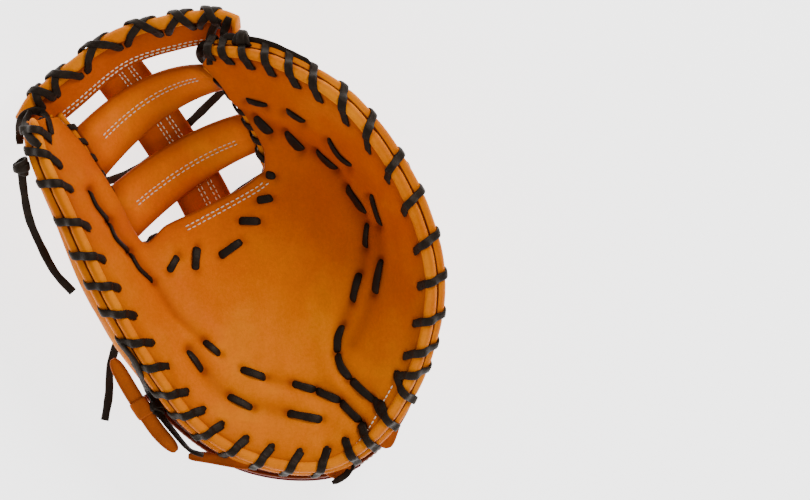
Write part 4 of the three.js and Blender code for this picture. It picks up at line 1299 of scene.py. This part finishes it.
# Stripes of the label: the grid's column and the width.
LABEL_STRIPES = [(2, 1.5), (9, 2.6), (19, 2.6), (26, 1.5)]
LINING_THICKNESS, LINING_GAP = 1.4, .7


def make_binding():
    u = mix(WINDOW[0], WINDOW[1], np.linspace(0, 1, 90)) / RIBS
    v = window_limit(u)
    path = back(u, v) + normals(back, u, v) * (BINDING_RADIUS - BACK_THICKNESS / 2)
    rings = tube_rings(path, BINDING_RADIUS, 14)
    loft("opening binding", rings, LIT_ROLL_LEATHER, "roll_leather", evenly_darkened(rings, .2), "opening_binding")


def make_strap():
    us, ws = np.linspace(0, 1, 150), np.linspace(.02, .98, 34)
    mid, normal = grid_of(strap_at, us, ws)
    half = (STRAP_THICKNESS / 2) * (.8 + .3 * np.sin(np.pi * ws) ** .6)[None] + 0 * us[:, None]
    rings = shell_rings(mid, normal, half, 5)
    made = loft("wrist strap", rings, STRAP_LEATHER, "strap_leather",
                faced(rings, edge_shade(len(us), ws, .6)), "wrist_strap")
    sheet(made, mid)
    part = np.s_[3:147]
    return [stitched(mid[part, j] - normal[part, j] * half[part, j, None], -normal[part, j], lift=.15)
            for j in STRAP_STITCHES]


def make_label():
    s, t = np.linspace(LABEL[0], LABEL[1], 60), np.linspace(LABEL[2], LABEL[3], 30)
    mid, normal = grid_of(strap_at, s, t)
    mid = mid - normal * (STRAP_THICKNESS / 2 + LABEL_GAP + LABEL_THICKNESS / 2)
    rings = shell_rings(mid, normal, np.full(mid.shape[:2], LABEL_THICKNESS / 2), 3)
    label = loft("label patch", rings, PATCH_RED, "patch", node="label_patch")
    sheet(label, mid)
    part = np.s_[3:57]
    stripes = [lace_rings(mid[part, j] - normal[part, j] * .6, -normal[part, j], wide, .5, 1.5, wild=0)
               for j, wide in LABEL_STRIPES]
    piece("label stripes", *joined(stripes), PATCH_CREAM, "patch")


def make_wrist():
    make_binding()
    rows = make_strap()
    make_label()
    stitch_mesh("strap stitches", rows, "strap_leather")


def make_lining():
    us, vs = np.linspace(.01 + .98 * 8 / 36, .01 + .98 * 30 / 36, 120), np.linspace(2 / 7, 5 / 7, 40)
    mid, normal = grid_of(palm, us, vs)
    mid = mid - normal * (PALM_THICKNESS / 2 + LINING_GAP + LINING_THICKNESS / 2)
    rings = shell_rings(mid, normal, np.full(mid.shape[:2], LINING_THICKNESS / 2), 3)
    sheet(loft("hand lining", rings, LINING, "lining", node="hand_lining"), mid)


def make_thumb_patch():
    rib, share, ribs, shares = OVAL
    a = np.arange(72) / 72 * 2 * math.pi

    def disc(r, lift):
        u = (rib + ribs * r * np.cos(a)) / RIBS
        v = share + shares * r * np.sin(a)
        return back(u, v) - normals(back, u, v) * (BACK_THICKNESS / 2 + STRAP_GAP / 2 + lift)

    under = [disc(r, 0) for r in (.02, .5, .9, 1.0)]
    over = [disc(1.03, .55), disc(1.0, 1.1)] + [disc(r, 1.2) for r in (.9, .5, .02)]
    made = loft("thumb patch", np.array(under + over), PATCH_RED, "patch", node="thumb_patch")
    sheet(made, np.array([np.vstack([r, r[:1]]) for r in under]))
    closed = np.r_[:len(a), 0, 1]
    up = -normals(back, (rib + 0 * a) / RIBS, share + 0 * a)[closed]
    stitch_mesh("thumb patch stitches", [stitched(disc(.9, 1.45)[closed], up, 2.2, lift=0)],
                "patch", 1.9, 1.3, .5)


# Thumb tongue and heel tabs
TONGUE_WIDTH, TONGUE_THICKNESS, TAB_THICKNESS = 9.0, 2.4, 2.6
# The keeper's half sizes along the tongue, across it and upwards.
KEEPER_HALF = (6.5, 6.6, 3.0)


def strip(name, line, z, up, width, thick, blunt=6, node=None):
    """A strap with rounded ends along a line of the picture, at heights z; also its middle line."""
    xy = smooth_xy(spots(line), 1.2)
    s = np.linspace(0, 1, len(xy))
    p = np.column_stack([xy, np.interp(s, np.linspace(0, 1, len(z)), z)])
    tangent = unit(np.gradient(p, axis=0))
    across = unit(np.cross(up, tangent))
    outer = np.cross(tangent, across)
    half = width / 2 * np.sqrt(np.clip(1 - np.abs(2 * s - 1) ** blunt, .02, 1))
    ws = np.linspace(-1, 1, 14)
    mid = p[:, None] + across[:, None] * (half[:, None] * ws)[..., None]
    normal = np.broadcast_to(outer[:, None], mid.shape)
    rings = shell_rings(mid, normal, np.full(mid.shape[:2], thick / 2), 4)
    loft(name, rings, TAB_LEATHER, "strap_leather",
         faced(rings, edge_shade(len(s), (ws + 1) / 2, .5)), node)
    return p, outer


def make_tongue():
    lift = BACK_THICKNESS / 2 + STRAP_GAP + STRAP_THICKNESS + 2 * LOOSE + 1.3
    u = np.linspace(TONGUE[0], TONGUE[1], 9) / RIBS
    v = np.full_like(u, (TONGUE[2] + TONGUE[3]) / 2)
    n = normals(back, u, v)
    z = (back(u, v) - n * lift)[:, 2]
    up = unit(np.array([0, 0, 1.0]) - .35 * n[4])
    line, outer = strip("thumb tongue", TONGUE_LINE, z, up, TONGUE_WIDTH, TONGUE_THICKNESS,
                        node="thumb_tongue")
    middle = len(line) // 2
    way = unit(line[middle + 3] - line[middle - 3])
    make_keeper(line[middle], way, unit(np.cross(up, way)), outer[middle])


def make_keeper(at, way, across, over):
    """The loop of leather that the tongue runs through."""
    a = np.arange(40) / 40 * 2 * math.pi
    s = np.linspace(-1, 1, 12)
    rounded = squared(a, 4) * (1 - .08 * s**6)[:, None, None]
    long, wide, high = KEEPER_HALF
    rings = (at + way * (s * long)[:, None, None]
             + across * (rounded[..., :1] * wide) + over * (rounded[..., 1:] * high))
    loft("tongue keeper", rings, TAB_LEATHER, "strap_leather", evenly_darkened(rings, .1), "tongue_keeper")


def make_heel_tabs():
    roll = BUILT["back-roll"][0]
    for k, (width, drops, line, lace) in enumerate(HEEL_TABS, 1):
        nearest = np.argmin(((roll[:, :2] - spot(*line[0])) ** 2).sum(1))
        top = roll[nearest, 2] - 2
        strip("heel tab %d" % k, line, top - np.array(drops), np.array([0, 0, 1.0]), width,
              TAB_THICKNESS, 4)
        if lace:
            xy = smooth_xy(spots(lace), 1.5)
            p = np.column_stack([xy, np.full(len(xy), top - 1.5)])
            rings = lace_rings(p, np.broadcast_to([0, 0, 1.0], p.shape), 4.6, 1.8, 1.3, taper=.4)
            loft("heel tab lace %d" % k, rings, LACE, "lace")


# Loose laces
KNOT_SIZE = 6.4


def knot_rings(at, way, up, size):
    """A flat overhand knot: turns of lace round the strand that runs through it."""
    way, up = unit(np.asarray(way, float)), unit(np.asarray(up, float))
    up = unit(up - way * (up @ way))
    side = np.cross(way, up)
    a = np.linspace(0, 2 * math.pi * 1.02, 22)
    out = side * np.cos(a)[:, None] + up * np.sin(a)[:, None]
    sets = []
    for shift, lean in ((-.34, .35), (.34, -.25), (0, .05)):
        r = size * (.62 if shift else .8)
        p = (at + way * (shift * size + lean * size * np.cos(a))[:, None]
             + side * (np.cos(a) * r)[:, None] + up * (np.sin(a) * r * .72)[:, None])
        sets.append(lace_rings(p, out, size * .95, 2.2, .9, wild=0))
    return sets


def make_tie(node, points, ups, knot):
    """A flat lace with a knot at a share of its route."""
    name = node.replace("_", " ")
    made = loft(name, lace_rings(points, ups, step=1.5, wild=.3), LACE, "lace", node=node)
    i = int(knot * (len(points) - 1))
    j = min(i + 1, len(points) - 1)
    i = j - 1
    tied = piece(name + " knot", *joined(knot_rings(points[i], points[j] - points[i], ups[i], KNOT_SIZE)),
                 LACE, "lace")


def make_ties():
    t = np.linspace(0, 1, 40)
    for node, (knot, route) in TIES.items():
        p = Line(sized(route)).at(t)
        make_tie(node, p, np.broadcast_to([0, 0, 1.0], p.shape), knot / (len(route) - 1))
    for node, (knot, gap, route) in BACK_TIES.items():
        u, v, _ = Line([[r / RIBS, s, 0] for r, s in route]).at(t).T
        n = -normals(back, u, v)
        p = back(u, v) + n * (BACK_THICKNESS / 2 + gap + LACE_THICKNESS / 2)
        make_tie(node, p, n, knot / (len(route) - 1))


def finger_tip_lace():
    """The lace that runs down the outer roll from the finger tip, and its knot."""
    e = rim_edge(np.linspace(.985, .9, 60))
    out = np.linspace(WELT_RADIUS + 2.0, WELT_RADIUS - .2, 60)
    sets = [lace_rings(e.off(-out, -WELT_OFFSET - 1.5), e.inward - .5 * e.into, 5.6, 1.9, 1.3,
                       taper=.5, wild=.1)]
    share = np.linspace(.9, .995, 400)
    at = np.argmin(((rim.at(share)[:, :2] - spot(*FINGER_KNOT)) ** 2).sum(1))
    e = rim_edge(share[at:at + 1])
    return sets + knot_rings(e.off(-WELT_RADIUS - 2.6, -WELT_OFFSET)[0], e.along[0],
                             (e.inward - e.into)[0], 6.6)


def make_tip_laces():
    """Laces that lie over the web's corners and down the heel."""
    roof = Roof(["palm", "palm-roll", "back-roll", "web-top-band", "web-band-roll", "back",
                 "thumb-tongue", "tongue-keeper", "wrist-strap"])
    sets = [lace_rings(*drape(roof, spots(line), 1.3), 6.0, 1.9, 1.3, taper=.25, wild=.1)
            for line in TIP_LACES]
    sets.append(lace_rings(*drape(roof, spots(HEEL_LACE), 1.2, rounds=14), 5.6, 1.9, 1.3,
                           taper=.25, wild=.2))
    at, up = drape(roof, spots(HEEL_LACE[3:5]), 2.0)
    sets += knot_rings(at[len(at) // 2], at[-1] - at[0], up[0], KNOT_SIZE)
    piece("tip and heel lacing", *joined(sets + finger_tip_lace()), LACE, "lace")


# Stage
FLOOR_HALF = 6.0  # metres
# Area lights: place and size in metres, and power.
LIGHTS = {"key": ((1.3, 1.5, 1.9), 1.0, 69), "fill": ((-1.9, -.2, 1.6), 1.8, 12),
          "front": ((.4, -2.1, 1.5), 1.8, 30)}


def make_light(name, at, size, power):
    """An area light that looks at the mitt."""
    data = bpy.data.lights.new(name, "AREA")
    data.size, data.energy = size, power
    lamp = bpy.data.objects.new(name, data)
    lamp.location = at
    lamp.rotation_euler = (Vector((0, 0, .05)) - Vector(at)).to_track_quat("-Z", "Y").to_euler()
    bpy.context.scene.collection.objects.link(lamp)


def make_floor():
    corners = [(x * FLOOR_HALF, y * FLOOR_HALF, 0) for x, y in ((-1, -1), (1, -1), (1, 1), (-1, 1))]
    mesh = bpy.data.meshes.new("floor")
    mesh.from_pydata(corners, [], [(0, 1, 2, 3)])
    floor = bpy.data.objects.new("floor", mesh)
    bpy.context.scene.collection.objects.link(floor)
    f = Finish("floor")
    pale = f.blend(f.ramp(f.noise(3, 3), .3, .7), (.80, .80, .80, 1), (.82, .82, .82, 1))
    f.put(f.shader.inputs["Base Color"], pale)
    f.put(f.shader.inputs["Roughness"], .9)
    f.put(f.shader.inputs["Emission Color"], (1, 1, 1, 1))
    f.put(f.shader.inputs["Emission Strength"], 2.7)
    mesh.materials.append(f.material)


def make_stage():
    make_floor()
    for name, light in LIGHTS.items():
        make_light(name, *light)
    world = bpy.data.worlds.new("world")
    world.use_nodes = True
    background = world.node_tree.nodes["Background"]
    background.inputs[0].default_value = (1, 1, 1, 1)
    background.inputs[1].default_value = .35
    bpy.context.scene.world = world


# The mitt; pieces that are laid on others come after them.
palm_ground = make_palm()
make_rolls()
make_rim_lace()
make_palm_laces()
make_web()
make_back()
make_wrist()
make_lining()
make_thumb_patch()
make_heel_tabs()
make_tongue()
make_ties()
make_tip_laces()
make_stage()
